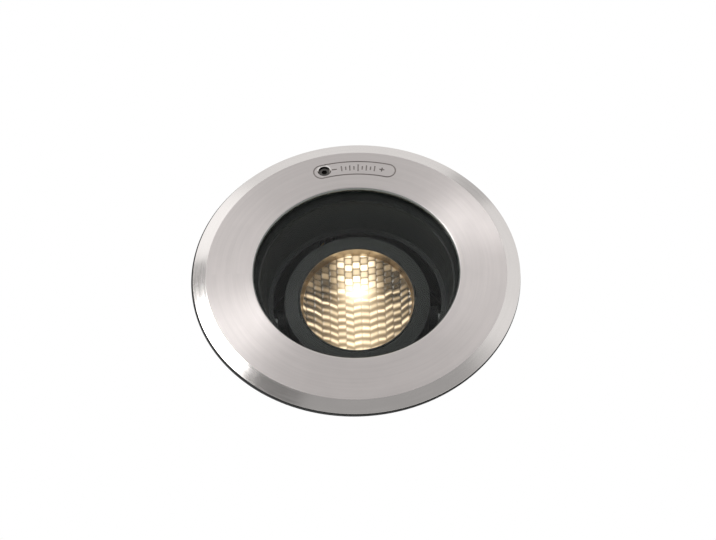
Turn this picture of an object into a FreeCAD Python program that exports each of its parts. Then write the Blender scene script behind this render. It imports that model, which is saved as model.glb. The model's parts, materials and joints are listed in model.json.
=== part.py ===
import FreeCAD, Part
import math
import os
import Sketcher
from types import SimpleNamespace

# In-ground well light: a stainless trim ring over a sealed can with a glass window, dropped into
# a buried sleeve. Inside the can a lamp head tilts on two trunnions, driven by a screw that is
# turned from above through a hole in the trim.
#
# Frame: origin on the ring's axis at ground level (underside of the sleeve's flange), +Z up,
# -Y toward the viewer, tilt axis along X. Lengths in millimetres, angles in degrees.

SIZES = {
    # trim ring
    "trim_reach": 3.0,
    "trim_thick": 3.0,
    "trim_edge": 0.7,
    "bevel_run": 7.6,
    "opening_radius": 57.9,
    "key_hole_radius": 3.5,
    "key_hole_chamfer": 0.6,
    "legend_inner": 68.3,
    "legend_outer": 78.5,
    "legend_start": 74.0,
    "legend_end": 104.5,
    "legend_line": 0.5,
    "legend_depth": 0.25,
    # fixings of the trim
    "stud_count": 6,
    "stud_radius": 2.0,
    "stud_length": 11.0,
    "stud_hole_gap": 0.25,
    "stud_offset": 30.0,
    "stud_nut_flats": 7.0,
    "stud_nut_height": 3.2,
    # sleeve and its gasket
    "sleeve_radius": 89.5,
    "sleeve_wall": 2.5,
    "sleeve_depth": 181.0,
    "base_thick": 3.0,
    "flange_reach": 2.5,
    "flange_thick": 1.5,
    "seat_gasket_reach": 2.7,
    "seat_gasket_thick": 0.7,
    "conduit_radius": 12.6,
    "conduit_depth": 160.0,
    "conduit_boss_wall": 3.4,
    "conduit_boss_length": 15.0,
    "plug_gap": 0.1,
    "plug_thick": 4.0,
    "plug_wall": 2.0,
    "drain_count": 8,
    "drain_radius": 5.0,
    "drain_circle": 62.0,
    "drain_centre_radius": 14.0,
    # glass and its gaskets
    "glass_radius": 62.0,
    "glass_thick": 8.0,
    "glass_gap": 0.5,
    "glass_chamfer": 0.8,
    "top_gasket_thick": 0.5,
    "top_gasket_inner": 58.4,
    "low_gasket_thick": 1.0,
    "low_gasket_inner": 55.6,
    # well liner
    "liner_lip": 1.0,
    "liner_mouth": 55.0,
    "liner_wall": 1.6,
    "liner_foot": 51.6,
    "liner_ledge": 48.7,
    "liner_depth": 28.8,
    "liner_ledge_thick": 1.5,
    # housing
    "housing_gap": 1.0,
    "housing_wall": 2.5,
    "deck_thick": 5.0,
    "pocket_wall": 3.5,
    "shoulder_thick": 3.0,
    "shoulder_gap": 1.0,
    "shelf_depth": 80.0,
    "shelf_thick": 5.0,
    "barrel_inset": 10.0,
    "barrel_wall": 3.5,
    "floor_depth": 132.0,
    "floor_thick": 3.0,
    "rib_count": 24,
    "rib_thick": 2.2,
    "rib_reach": 5.0,
    "rib_margin": 4.0,
    # gimbal frame
    "frame_thick": 2.0,
    "frame_gap": 0.5,
    "frame_inner": 59.0,
    "ear_place": 61.0,
    "ear_thick": 2.0,
    "ear_half_width": 9.0,
    "ear_rise": 9.0,
    "frame_screw_count": 4,
    "frame_screw_inset": 5.2,
    "frame_screw_radius": 2.0,
    "frame_screw_length": 6.0,
    "frame_screw_head": 3.5,
    "frame_screw_head_height": 2.4,
    "lead_hole_radius": 3.0,
    "lead_hole_place": 71.0,
    # tilt axis
    "pivot_depth": 50.0,
    "rest_tilt": 6.0,
    "trunnion_radius": 4.0,
    "trunnion_bore": 2.0,
    "trunnion_head_radius": 6.0,
    "trunnion_head_thick": 1.5,
    "trunnion_head_seat": 0.5,
    "trunnion_clip_gap": 0.3,
    "trunnion_end": 64.6,
    "trunnion_clip_radius": 5.6,
    "trunnion_clip_thick": 0.8,
    "running_gap": 0.05,
    "bush_wall": 1.2,
    "bush_flange_radius": 7.0,
    "bush_flange_thick": 1.0,
    # lamp head, measured up from the tilt axis
    "rim_rise": 27.0,
    "cup_radius": 42.0,
    "cup_wall": 2.0,
    "cup_top": 24.0,
    "cup_boss_radius": 7.0,
    "cup_boss_end": 47.0,
    "glare_inner": 33.9,
    "glare_inner_rise": 26.8,
    "glare_outer_rise": 25.4,
    "glare_plate": 1.2,
    "reflector_radius": 32.8,
    "reflector_wall": 0.8,
    "reflector_foot": 20.5,
    "reflector_curve": 90.0,
    "lens_drop": 5.0,
    "lens_thick": 3.4,
    "lens_inset": 1.4,
    "lens_gap": 0.1,
    "lens_ledge": 1.0,
    "lens_chamfer": 0.5,
    "holder_radius": 23.0,
    "holder_height": 3.6,
    "holder_bore": 16.5,
    "board_side": 28.0,
    "board_thick": 1.4,
    "board_gap": 0.2,
    "phosphor_radius": 12.5,
    "phosphor_thick": 0.4,
    "thermal_pad_thick": 0.3,
    "sink_drop": 9.0,
    "sink_base_thick": 4.0,
    "sink_radius": 39.0,
    "sink_fin_height": 30.0,
    "sink_slot_count": 12,
    "sink_slot_width": 4.2,
    "sink_fin_thick": 2.0,
    "sink_screw_count": 4,
    "sink_screw_circle": 37.5,
    "sink_screw_radius": 1.25,
    "sink_screw_length": 5.0,
    "sink_screw_head": 2.4,
    "sink_screw_head_height": 1.6,
    "sink_screw_boss": 3.6,
    "sink_screw_boss_rise": 4.0,
    "sink_screw_bite": 3.0,
    "sink_screw_room": 0.8,
    # tilt screw, its nut and the fork
    "key_inset": 9.4,
    "key_angle": 103.15,
    "spindle_radius": 2.5,
    "spindle_head_radius": 2.9,
    "spindle_head_drop": 1.8,
    "spindle_head_height": 4.0,
    "spindle_head_room": 0.3,
    "spindle_socket_flats": 3.0,
    "spindle_socket_depth": 2.5,
    "spindle_foot_radius": 1.8,
    "spindle_bush_radius": 5.0,
    "spindle_bush_length": 11.0,
    "spindle_bush_shoulder": 7.5,
    "spindle_bush_shoulder_thick": 2.0,
    "oring_section": 0.9,
    "oring_groove_depth_room": 0.05,
    "oring_groove_side_room": 0.1,
    "oring_high": 3.4,
    "oring_pitch": 3.6,
    "collar_gap": 0.4,
    "collar_thick": 1.2,
    "collar_radius": 4.6,
    "foot_bearing_radius": 3.4,
    "foot_bearing_flange": 5.5,
    "foot_bearing_flange_thick": 1.7,
    "foot_bearing_gap": 0.3,
    "nut_half_width": 4.5,
    "nut_half_height": 4.0,
    "nut_pin_radius": 1.75,
    "nut_pin_reach": 7.2,
    "fork_gap": 0.4,
    "fork_arm_thick": 1.8,
    "fork_arm_edge": 2.0,
    "fork_slot_inward": 1.0,
    "fork_slot_outward": 3.1,
    "fork_base_place": 43.0,
    "fork_base_root": 24.0,
    "fork_base_thick": 2.0,
    "fork_base_half_width": 12.5,
    "fork_base_half_height": 6.0,
    "fork_screw_spread": 9.6,
    "fork_screw_radius": 1.25,
    "fork_screw_length": 6.0,
    "fork_screw_head": 2.3,
    "fork_screw_head_height": 1.5,
    # driver and terminal block
    "driver_half_length": 40.0,
    "driver_half_width": 22.5,
    "driver_height": 24.0,
    "driver_post_radius": 4.5,
    "driver_post_height": 6.0,
    "driver_post_place": 45.0,
    "driver_tab_thick": 3.0,
    "driver_tab_half_width": 6.0,
    "driver_screw_radius": 1.5,
    "driver_screw_length": 9.0,
    "driver_screw_head": 2.8,
    "driver_screw_head_height": 1.8,
    "terminal_near": 18.0,
    "terminal_far": 38.0,
    "terminal_front": -48.0,
    "terminal_back": -33.0,
    "terminal_height": 12.0,
    "terminal_well_radius": 1.87,
    "terminal_well_depth": 3.0,
    "terminal_well_offset": 4.0,
    # gland, vent and leads
    "port_place": 50.0,
    "gland_thread_radius": 8.0,
    "gland_bore": 5.2,
    "gland_flats": 22.0,
    "gland_hex_height": 5.0,
    "gland_thread_rise": 5.0,
    "gland_neck_radius": 7.8,
    "gland_neck_length": 9.0,
    "gland_nut_length": 18.0,
    "gland_nut_radius": 10.8,
    "gland_nut_mouth": 6.4,
    "gland_nut_lip": 1.6,
    "gland_nut_cone": 5.0,
    "gland_nut_shoulder": 1.5,
    "gland_locknut_height": 4.0,
    "gland_seal_bore": 4.5,
    "vent_radius": 9.0,
    "vent_height": 4.0,
    "vent_chamfer": 1.0,
    "vent_thread_radius": 6.0,
    "vent_thread_rise": 3.0,
    "mains_lead_radius": 2.2,
    "mains_lead_rise": 21.0,
    "mains_lead_bend": 12.0,
    "led_lead_radius": 1.3,
    "led_lead_bend": 5.5,
    "led_lead_height": 14.0,
    "led_lead_meet": 37.0,
    "led_lead_drop": 29.5,
    # spring clips that steady the can in its sleeve
    "clip_count": 3,
    "clip_angle": 7.5,
    "clip_half_width": 5.0,
    "clip_strip": 0.6,
    "clip_gap": 0.4,
    "clip_foot_low": 129.0,
    "clip_foot_high": 117.0,
    "clip_crest": 102.0,
    "clip_tip": 89.0,
    "clip_tip_reach": 3.2,
    "clip_screw_radius": 1.5,
    "clip_screw_length": 3.0,
    "clip_screw_head": 2.8,
    "clip_screw_head_height": 1.6,
    "clip_crest_half": 2.0,
    "clip_crest_inner_half": 1.8,
    "clip_foot_lead": 0.3,
    "screw_hole_room": 0.3,
}

NEAR_ZERO = 1e-9
FULL_TURN = 360.0
OVERCUT = 1.0           # how far a cutting piece runs past the face it goes through
SOCKET_WIDTH = 0.9      # a screw's hexagon socket, as a share of its head's radius
SOCKET_DEPTH = 0.6      # and as a share of its head's height
CAP_BULGE = 0.51        # round end of the legend's loop, as a share of the loop's width
BEND_SHARE = 0.45       # the most of a lead's shorter run that one bend may take

doc = FreeCAD.newDocument("WellLight")
sheet = doc.addObject("Spreadsheet::Sheet", "Sizes")
nodes = {}


class Size:
    """A length, angle or count: the sheet formula that sets it, and its present value."""

    def __init__(self, formula, value):
        self.formula = formula
        self.value = value

    def joined(self, sign, other, value):
        return Size("(%s %s %s)" % (self.formula, sign, other.formula), value)

    def __add__(self, other):
        other = as_size(other)
        return self.joined("+", other, self.value + other.value)

    def __sub__(self, other):
        other = as_size(other)
        return self.joined("-", other, self.value - other.value)

    def __mul__(self, other):
        other = as_size(other)
        return self.joined("*", other, self.value * other.value)

    def __truediv__(self, other):
        other = as_size(other)
        return self.joined("/", other, self.value / other.value)

    def __radd__(self, other):
        return as_size(other) + self

    def __rsub__(self, other):
        return as_size(other) - self

    def __rmul__(self, other):
        return as_size(other) * self

    def __rtruediv__(self, other):
        return as_size(other) / self

    def __neg__(self):
        return as_size(0) - self


def as_size(value):
    if isinstance(value, Size):
        return value
    return Size("%.9g" % value, float(value))


def cosine(angle):
    return Size("cos(%s)" % angle.formula, math.cos(math.radians(angle.value)))


def sine(angle):
    return Size("sin(%s)" % angle.formula, math.sin(math.radians(angle.value)))


def tangent(angle):
    return Size("tan(%s)" % angle.formula, math.tan(math.radians(angle.value)))


def fill_sheet():
    sizes = {}
    for row, (name, value) in enumerate(SIZES.items(), start=1):
        sheet.set("A%d" % row, name)
        sheet.set("B%d" % row, str(value))
        sheet.setAlias("B%d" % row, name)
        sizes[name] = Size("Sizes." + name, float(value))
    doc.recompute()
    return SimpleNamespace(**sizes)


S = fill_sheet()

# Heights of the stack at the ground line.
FLANGE_TOP = S.flange_thick
TRIM_LOW = FLANGE_TOP + S.seat_gasket_thick
TRIM_TOP = TRIM_LOW + S.trim_thick
GLASS_TOP = TRIM_LOW - S.top_gasket_thick
GLASS_LOW = GLASS_TOP - S.glass_thick
LIP_TOP = GLASS_LOW - S.low_gasket_thick
LIP_LOW = LIP_TOP - S.liner_lip
SHOULDER_LOW = LIP_LOW - S.shoulder_thick
DECK_LOW = TRIM_LOW - S.deck_thick

# Heights further down.
PIVOT = -S.pivot_depth
SHELF_TOP = -S.shelf_depth
SHELF_LOW = SHELF_TOP - S.shelf_thick
FRAME_TOP = SHELF_TOP + S.frame_thick
FLOOR_TOP = -S.floor_depth
FLOOR_LOW = FLOOR_TOP - S.floor_thick
BASE_LOW = -S.sleeve_depth
BASE_TOP = BASE_LOW + S.base_thick
CONDUIT = -S.conduit_depth
CLIP_SCREW = -(S.clip_foot_low + S.clip_foot_high) / 2

# Radii that follow from one another.
TRIM_OUT = S.sleeve_radius + S.trim_reach
FLANGE_OUT = S.sleeve_radius + S.flange_reach
SEAT_GASKET_OUT = S.sleeve_radius + S.seat_gasket_reach
SLEEVE_IN = S.sleeve_radius - S.sleeve_wall
HOUSING_OUT = SLEEVE_IN - S.housing_gap
HOUSING_IN = HOUSING_OUT - S.housing_wall
BARREL_OUT = HOUSING_OUT - S.barrel_inset
BARREL_IN = BARREL_OUT - S.barrel_wall
KEY_CIRCLE = HOUSING_IN - S.key_inset
FRAME_SCREW_CIRCLE = HOUSING_IN - S.frame_screw_inset
GLASS_POCKET = S.glass_radius + S.glass_gap
LINER_OUT_TOP = S.liner_mouth + S.liner_wall
LINER_OUT_LOW = S.liner_foot + S.liner_wall
FRAME_OUT = HOUSING_IN - S.frame_gap
CONDUIT_BOSS = S.conduit_radius + S.conduit_boss_wall
TRUNNION_BUSH_OUT = S.trunnion_radius + S.running_gap + S.bush_wall

# The tilt screw's place, and the levels in the lamp head (up from the tilt axis).
KEY_X = KEY_CIRCLE * cosine(S.key_angle)
KEY_Y = KEY_CIRCLE * sine(S.key_angle)
SINK_TOP = -S.sink_drop
SINK_LOW = SINK_TOP - S.sink_base_thick
HOLDER_TOP = SINK_TOP + S.holder_height
BOARD_LOW = SINK_TOP + S.thermal_pad_thick
BOARD_TOP = BOARD_LOW + S.board_thick


# ---------------------------------------------------------------- drawing helpers

def bind(thing, prop, size):
    thing.setExpression(prop, as_size(size).formula)


def node(label, thing):
    """Keep this object as the part's piece of that name."""
    thing.Label = label
    nodes[label] = thing
    return thing


def place(thing, x=0, y=0, z=0, axis=(0, 0, 1), angle=0):
    """Put a piece at a point, turned about an axis through that point."""
    turn = FreeCAD.Rotation(FreeCAD.Vector(*axis), as_size(angle).value or NEAR_ZERO)
    thing.Placement = FreeCAD.Placement(FreeCAD.Vector(), turn)
    for name, size in (("x", x), ("y", y), ("z", z)):
        bind(thing, "Placement.Base." + name, size)
    if as_size(angle).value:
        bind(thing, "Placement.Rotation.Angle", angle)
    return thing


def ride_head(thing):
    """Put a piece drawn about the tilt axis into the lamp head at its rest tilt."""
    return place(thing, z=PIVOT, axis=(1, 0, 0), angle=S.rest_tilt)


def origin_of(body, role):
    return [item for item in body.Origin.OriginFeatures if item.Role == role][0]


def new_sketch(body, plane, offset=0):
    sketch = body.newObject("Sketcher::SketchObject", "Sketch")
    sketch.AttachmentSupport = (origin_of(body, plane), "")
    sketch.MapMode = "FlatFace"
    bind(sketch, "AttachmentOffset.Base.z", offset)
    return sketch


def arc_between(begin, end, radius):
    """The arc from begin to end, and whether it runs clockwise (a negative radius)."""
    chord = end - begin
    middle = begin + chord * 0.5
    side = FreeCAD.Vector(-chord.y, chord.x, 0).normalize()
    rise = math.sqrt(max(radius * radius - chord.Length ** 2 / 4, 0))
    clockwise = radius < 0
    centre = middle - side * rise if clockwise else middle + side * rise
    circle = Part.Circle(centre, FreeCAD.Vector(0, 0, 1), abs(radius))
    low, high = circle.parameter(begin), circle.parameter(end)
    if clockwise:
        low, high = high, low
    return Part.ArcOfCircle(circle, low, high), clockwise


def draw_outline(sketch, points):
    """Closed outline through points (across, up). A third value is the radius of the arc
    that leaves the point: positive turns left, negative turns right."""
    corners = [FreeCAD.Vector(as_size(p[0]).value, as_size(p[1]).value, 0) for p in points]
    ends = []
    for index, point in enumerate(points):
        begin, end = corners[index], corners[(index + 1) % len(points)]
        if len(point) < 3:
            edge = sketch.addGeometry(Part.LineSegment(begin, end))
            ends.append((edge, 1, 2))
            continue
        arc, clockwise = arc_between(begin, end, as_size(point[2]).value)
        edge = sketch.addGeometry(arc)
        ends.append((edge, 2, 1) if clockwise else (edge, 1, 2))
        radius = sketch.addConstraint(Sketcher.Constraint("Radius", edge, abs(arc.Radius)))
        bind(sketch, "Constraints[%d]" % radius, -point[2] if clockwise else point[2])
    for index, (edge, begin, end) in enumerate(ends):
        following, start, _ = ends[(index + 1) % len(ends)]
        sketch.addConstraint(Sketcher.Constraint("Coincident", edge, end, following, start))
    for (edge, begin, _), corner, point in zip(ends, corners, points):
        across = Sketcher.Constraint("DistanceX", -1, 1, edge, begin, corner.x)
        bind(sketch, "Constraints[%d]" % sketch.addConstraint(across), point[0])
        up = Sketcher.Constraint("DistanceY", -1, 1, edge, begin, corner.y)
        bind(sketch, "Constraints[%d]" % sketch.addConstraint(up), point[1])


def draw_circle(sketch, x, y, radius):
    x, y, radius = as_size(x), as_size(y), as_size(radius)
    centre = FreeCAD.Vector(x.value, y.value, 0)
    edge = sketch.addGeometry(Part.Circle(centre, FreeCAD.Vector(0, 0, 1), radius.value))
    across = Sketcher.Constraint("DistanceX", -1, 1, edge, 3, x.value)
    bind(sketch, "Constraints[%d]" % sketch.addConstraint(across), x)
    up = Sketcher.Constraint("DistanceY", -1, 1, edge, 3, y.value)
    bind(sketch, "Constraints[%d]" % sketch.addConstraint(up), y)
    wide = Sketcher.Constraint("Radius", edge, radius.value)
    bind(sketch, "Constraints[%d]" % sketch.addConstraint(wide), radius)


def hexagon(flats):
    """Corners of a hexagon of this width across its flats."""
    corner = flats / math.sqrt(3)
    turns = [math.radians(60 * k) for k in range(6)]
    return [(corner * math.cos(turn), corner * math.sin(turn)) for turn in turns]


def add_pad(body, sketch, length, centred=False):
    pad = body.newObject("PartDesign::Pad", "Pad")
    pad.Profile = sketch
    pad.Midplane = centred
    bind(pad, "Length", length)
    return pad


def add_pocket(body, sketch, depth):
    """Cut down from the sketch, against its normal."""
    pocket = body.newObject("PartDesign::Pocket", "Pocket")
    pocket.Profile = sketch
    bind(pocket, "Length", depth)
    return pocket


def add_ring_of(body, feature, count):
    pattern = body.newObject("PartDesign::PolarPattern", "PolarPattern")
    pattern.Originals = [feature]
    pattern.Axis = (origin_of(body, "Z_Axis"), [""])
    pattern.Angle = FULL_TURN
    bind(pattern, "Occurrences", count)
    body.Tip = pattern
    return pattern


def spin(points, name="Turned"):
    """A turned piece: the outline (radius, height) revolved about its own Z axis."""
    body = doc.addObject("PartDesign::Body", name)
    sketch = new_sketch(body, "XZ_Plane")
    draw_outline(sketch, points)
    turned = body.newObject("PartDesign::Revolution", "Revolution")
    turned.Profile = sketch
    turned.ReferenceAxis = (sketch, ["V_Axis"])
    turned.Angle = FULL_TURN
    return body


def ring(inner, outer, low, high):
    return spin([(inner, low), (outer, low), (outer, high), (inner, high)], "Ring")


def box(x, y, z):
    """A box from three (low, high) pairs."""
    block = doc.addObject("Part::Box", "Box")
    for prop, (low, high) in (("Length", x), ("Width", y), ("Height", z)):
        bind(block, prop, as_size(high) - low)
    return place(block, x[0], y[0], z[0])


def rod(radius, length, x=0, y=0, z=0, axis=(0, 0, 1), angle=0):
    cylinder = doc.addObject("Part::Cylinder", "Rod")
    bind(cylinder, "Radius", radius)
    bind(cylinder, "Height", length)
    return place(cylinder, x, y, z, axis, angle)


def rod_along_x(radius, x, y=0, z=0):
    """A rod along X between two values of x."""
    return rod(radius, as_size(x[1]) - x[0], x[0], y, z, (0, 1, 0), 90)


def fuse(pieces):
    joined = doc.addObject("Part::MultiFuse", "Fuse")
    joined.Shapes = pieces
    return joined


def cut(base, tools):
    tool = tools[0] if len(tools) == 1 else fuse(tools)
    left = doc.addObject("Part::Cut", "Cut")
    left.Base = base
    left.Tool = tool
    return left


def group(pieces):
    """Separate equal solids that share one node."""
    compound = doc.addObject("Part::Compound", "Group")
    compound.Links = pieces
    return compound


def screw(radius, length, head, head_height):
    """A socket screw: head above its own origin, shank below, hexagon socket in the head."""
    body = spin([(0, head_height), (head, head_height), (head, 0), (radius, 0),
                 (radius, -length), (0, -length)], "Screw")
    sketch = new_sketch(body, "XY_Plane", head_height)
    draw_outline(sketch, hexagon(head * SOCKET_WIDTH))
    add_pocket(body, sketch, head_height * SOCKET_DEPTH)
    return body


def hex_nut(flats, bore, height):
    """A hexagon nut standing on its own origin."""
    body = doc.addObject("PartDesign::Body", "Nut")
    sketch = new_sketch(body, "XY_Plane")
    draw_outline(sketch, hexagon(flats))
    draw_circle(sketch, 0, 0, bore)
    add_pad(body, sketch, height)
    return body


def around(count, circle, start, height, make):
    """Equal pieces on a circle about Z, each turned with its place."""
    pieces = []
    for index in range(int(count.value)):
        angle = start + FULL_TURN * index / count
        piece = make()
        place(piece, circle * cosine(angle), circle * sine(angle), height, angle=angle)
        pieces.append(piece)
    return pieces


def around_axis(count, start, make):
    """Equal pieces, each drawn in place at angle zero, then turned about Z."""
    pieces = []
    for index in range(int(count.value)):
        pieces.append(place(group([make()]), angle=start + FULL_TURN * index / count))
    return pieces


def lead_shape(points, radius, widest):
    """A round lead along straight runs joined by tangent arcs, none wider than widest."""
    corners = [FreeCAD.Vector(*[as_size(value).value for value in p]) for p in points]
    edges = []
    start = corners[0]
    for before, corner, after in zip(corners, corners[1:], corners[2:]):
        come, leave = corner - before, after - corner
        shorter = min(come.Length, leave.Length)
        come.normalize()
        leave.normalize()
        half_turn = come.getAngle(leave) / 2
        bend = min(BEND_SHARE * shorter / math.tan(half_turn), widest)
        trim = bend * math.tan(half_turn)
        begin, end = corner - come * trim, corner + leave * trim
        print("lead bend radius %.1f mm for a radius of %.1f mm" % (bend, radius))
        toward = (leave - come).normalize()
        middle = corner + toward * (bend / math.cos(half_turn) - bend)
        edges.append(Part.LineSegment(start, begin).toShape())
        edges.append(Part.Arc(begin, middle, end).toShape())
        start = end
    edges.append(Part.LineSegment(start, corners[-1]).toShape())
    path = Part.Wire(edges)
    way = (corners[1] - corners[0]).normalize()
    section = Part.Wire([Part.Circle(corners[0], way, radius).toShape()])
    solid = path.makePipeShell([section], True, False)
    expected = math.pi * radius * radius * path.Length
    print("lead volume %.1f of %.1f mm3" % (solid.Volume, expected))
    return solid


def lead(points, radius, widest):
    thing = doc.addObject("Part::Feature", "Lead")
    thing.Shape = lead_shape(points, radius.value, widest.value)
    return thing


# ---------------------------------------------------------------- sleeve

def make_sleeve():
    body = spin([
        (0, BASE_LOW), (S.sleeve_radius, BASE_LOW), (S.sleeve_radius, 0), (FLANGE_OUT, 0),
        (FLANGE_OUT, FLANGE_TOP), (SLEEVE_IN, FLANGE_TOP), (SLEEVE_IN, BASE_TOP),
        (0, BASE_TOP)], "Sleeve")
    sketch = new_sketch(body, "XY_Plane", BASE_TOP)
    draw_circle(sketch, S.drain_circle, 0, S.drain_radius)
    drain = add_pocket(body, sketch, S.base_thick + OVERCUT)
    add_ring_of(body, drain, S.drain_count)
    sketch = new_sketch(body, "XY_Plane", BASE_TOP)
    draw_circle(sketch, 0, 0, S.drain_centre_radius)
    add_pocket(body, sketch, S.base_thick + OVERCUT)
    boss_start = SLEEVE_IN - S.conduit_boss_length
    boss_end = SLEEVE_IN + S.sleeve_wall / 2
    out = S.sleeve_radius + OVERCUT
    bosses = [rod_along_x(CONDUIT_BOSS, (boss_start, boss_end), z=CONDUIT),
              rod_along_x(CONDUIT_BOSS, (-boss_end, -boss_start), z=CONDUIT)]
    bores = [rod_along_x(S.conduit_radius, (boss_start - OVERCUT, out), z=CONDUIT),
             rod_along_x(S.conduit_radius, (-out, OVERCUT - boss_start), z=CONDUIT)]
    node("mounting_sleeve", cut(fuse([body] + bosses), bores))


def make_blanking_plug():
    radius = S.conduit_radius - S.plug_gap
    inner_end = S.conduit_boss_length - SLEEVE_IN
    skin = rod(S.sleeve_radius, CONDUIT_BOSS * 2, z=CONDUIT - CONDUIT_BOSS)
    full = rod_along_x(radius, (-S.sleeve_radius, inner_end), z=CONDUIT)
    hollow = rod_along_x(radius - S.plug_wall,
                         (S.plug_thick - S.sleeve_radius, inner_end + OVERCUT), z=CONDUIT)
    rounded = doc.addObject("Part::MultiCommon", "Common")
    rounded.Shapes = [full, skin]
    node("blanking_plug", cut(rounded, [hollow]))


def make_seat_gasket():
    node("seat_gasket", ring(SLEEVE_IN, SEAT_GASKET_OUT, FLANGE_TOP, TRIM_LOW))


# ---------------------------------------------------------------- trim and glass

def legend_loop(grow):
    """Rounded band along the ring, widened on all sides by grow."""
    low, high = S.legend_inner - grow, S.legend_outer + grow
    cap = (high - low) * CAP_BULGE
    start, end = S.legend_start, S.legend_end
    return [(low * cosine(start), low * sine(start), cap),
            (high * cosine(start), high * sine(start), high),
            (high * cosine(end), high * sine(end), cap),
            (low * cosine(end), low * sine(end), -low)]


def make_trim():
    flat = TRIM_OUT - S.bevel_run
    body = spin([(S.opening_radius, TRIM_LOW), (TRIM_OUT, TRIM_LOW),
                 (TRIM_OUT, TRIM_LOW + S.trim_edge), (flat, TRIM_TOP),
                 (S.opening_radius, TRIM_TOP)], "Trim")
    sketch = new_sketch(body, "XY_Plane", TRIM_TOP)
    draw_outline(sketch, legend_loop(0))
    draw_outline(sketch, legend_loop(-S.legend_line))
    add_pocket(body, sketch, S.legend_depth)
    sketch = new_sketch(body, "XY_Plane", TRIM_TOP)
    draw_circle(sketch, KEY_X, KEY_Y, S.key_hole_radius)
    add_pocket(body, sketch, S.trim_thick + OVERCUT)
    wide = S.key_hole_radius + S.key_hole_chamfer
    countersink = spin([(0, TRIM_TOP - wide), (wide + OVERCUT, TRIM_TOP + OVERCUT),
                        (0, TRIM_TOP + OVERCUT)])
    place(countersink, KEY_X, KEY_Y)
    node("trim_ring", cut(body, [countersink]))


def make_trim_fixings():
    first = S.key_angle - S.stud_offset
    studs = around(S.stud_count, KEY_CIRCLE, first, TRIM_LOW - S.stud_length,
                   lambda: rod(S.stud_radius, S.stud_length))
    node("trim_studs", group(studs))
    nuts = around(S.stud_count, KEY_CIRCLE, first, DECK_LOW - S.stud_nut_height,
                  lambda: hex_nut(S.stud_nut_flats, S.stud_radius, S.stud_nut_height))
    node("stud_nuts", group(nuts))


def make_glass():
    node("glass_gasket_top", ring(S.top_gasket_inner, S.glass_radius, GLASS_TOP, TRIM_LOW))
    edge = S.glass_radius - S.glass_chamfer
    node("cover_glass", spin([
        (0, GLASS_LOW), (edge, GLASS_LOW), (S.glass_radius, GLASS_LOW + S.glass_chamfer),
        (S.glass_radius, GLASS_TOP - S.glass_chamfer), (edge, GLASS_TOP), (0, GLASS_TOP)]))
    node("glass_gasket_bottom", ring(S.low_gasket_inner, S.glass_radius, LIP_TOP, GLASS_LOW))


def make_well_liner():
    ledge_top = -S.liner_depth
    ledge_low = ledge_top - S.liner_ledge_thick
    node("well_liner", spin([
        (S.liner_mouth, LIP_TOP), (S.glass_radius, LIP_TOP), (S.glass_radius, LIP_LOW),
        (LINER_OUT_TOP, LIP_LOW), (LINER_OUT_LOW, ledge_low), (S.liner_ledge, ledge_low),
        (S.liner_ledge, ledge_top), (S.liner_foot, ledge_top)]))


# ---------------------------------------------------------------- housing

def make_housing():
    pocket_out = GLASS_POCKET + S.pocket_wall
    shoulder_in = LINER_OUT_TOP + S.shoulder_gap
    body = spin([
        (0, FLOOR_LOW), (BARREL_OUT, FLOOR_LOW), (BARREL_OUT, SHELF_LOW),
        (HOUSING_OUT, SHELF_LOW), (HOUSING_OUT, TRIM_LOW), (GLASS_POCKET, TRIM_LOW),
        (GLASS_POCKET, LIP_LOW), (shoulder_in, LIP_LOW), (shoulder_in, SHOULDER_LOW),
        (pocket_out, SHOULDER_LOW), (pocket_out, DECK_LOW), (HOUSING_IN, DECK_LOW),
        (HOUSING_IN, SHELF_TOP), (BARREL_IN, SHELF_TOP), (BARREL_IN, FLOOR_TOP),
        (0, FLOOR_TOP)], "Housing")
    add_ribs(body)
    add_posts(body)
    add_deck_holes(body)
    add_floor_holes(body)
    depth = S.clip_screw_length - S.clip_strip + S.screw_hole_room
    start = BARREL_OUT - depth
    holes = around_axis(S.clip_count, S.clip_angle, lambda: rod_along_x(
        S.clip_screw_radius, (start, BARREL_OUT + OVERCUT), z=CLIP_SCREW))
    node("housing", cut(body, holes))


def add_ribs(body):
    sketch = new_sketch(body, "XZ_Plane")
    root = BARREL_OUT - S.barrel_wall / 2
    tip = BARREL_OUT + S.rib_reach
    low, high = FLOOR_LOW + S.rib_margin, SHELF_LOW + S.rib_margin / 4
    slope = S.rib_reach
    draw_outline(sketch, [(root, low - slope / 2), (BARREL_OUT, low - slope / 2),
                          (tip, low + slope), (tip, high), (root, high)])
    rib = add_pad(body, sketch, S.rib_thick, centred=True)
    add_ring_of(body, rib, S.rib_count)


def add_posts(body):
    sketch = new_sketch(body, "XY_Plane", FLOOR_TOP - S.floor_thick / 2)
    for side in (-1, 1):
        draw_circle(sketch, S.driver_post_place * side, 0, S.driver_post_radius)
    add_pad(body, sketch, S.driver_post_height + S.floor_thick / 2)
    sketch = new_sketch(body, "XY_Plane", FLOOR_TOP + S.driver_post_height)
    for side in (-1, 1):
        draw_circle(sketch, S.driver_post_place * side, 0, S.driver_screw_radius)
    add_pocket(body, sketch, S.driver_screw_length - S.driver_tab_thick + S.screw_hole_room)


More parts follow.
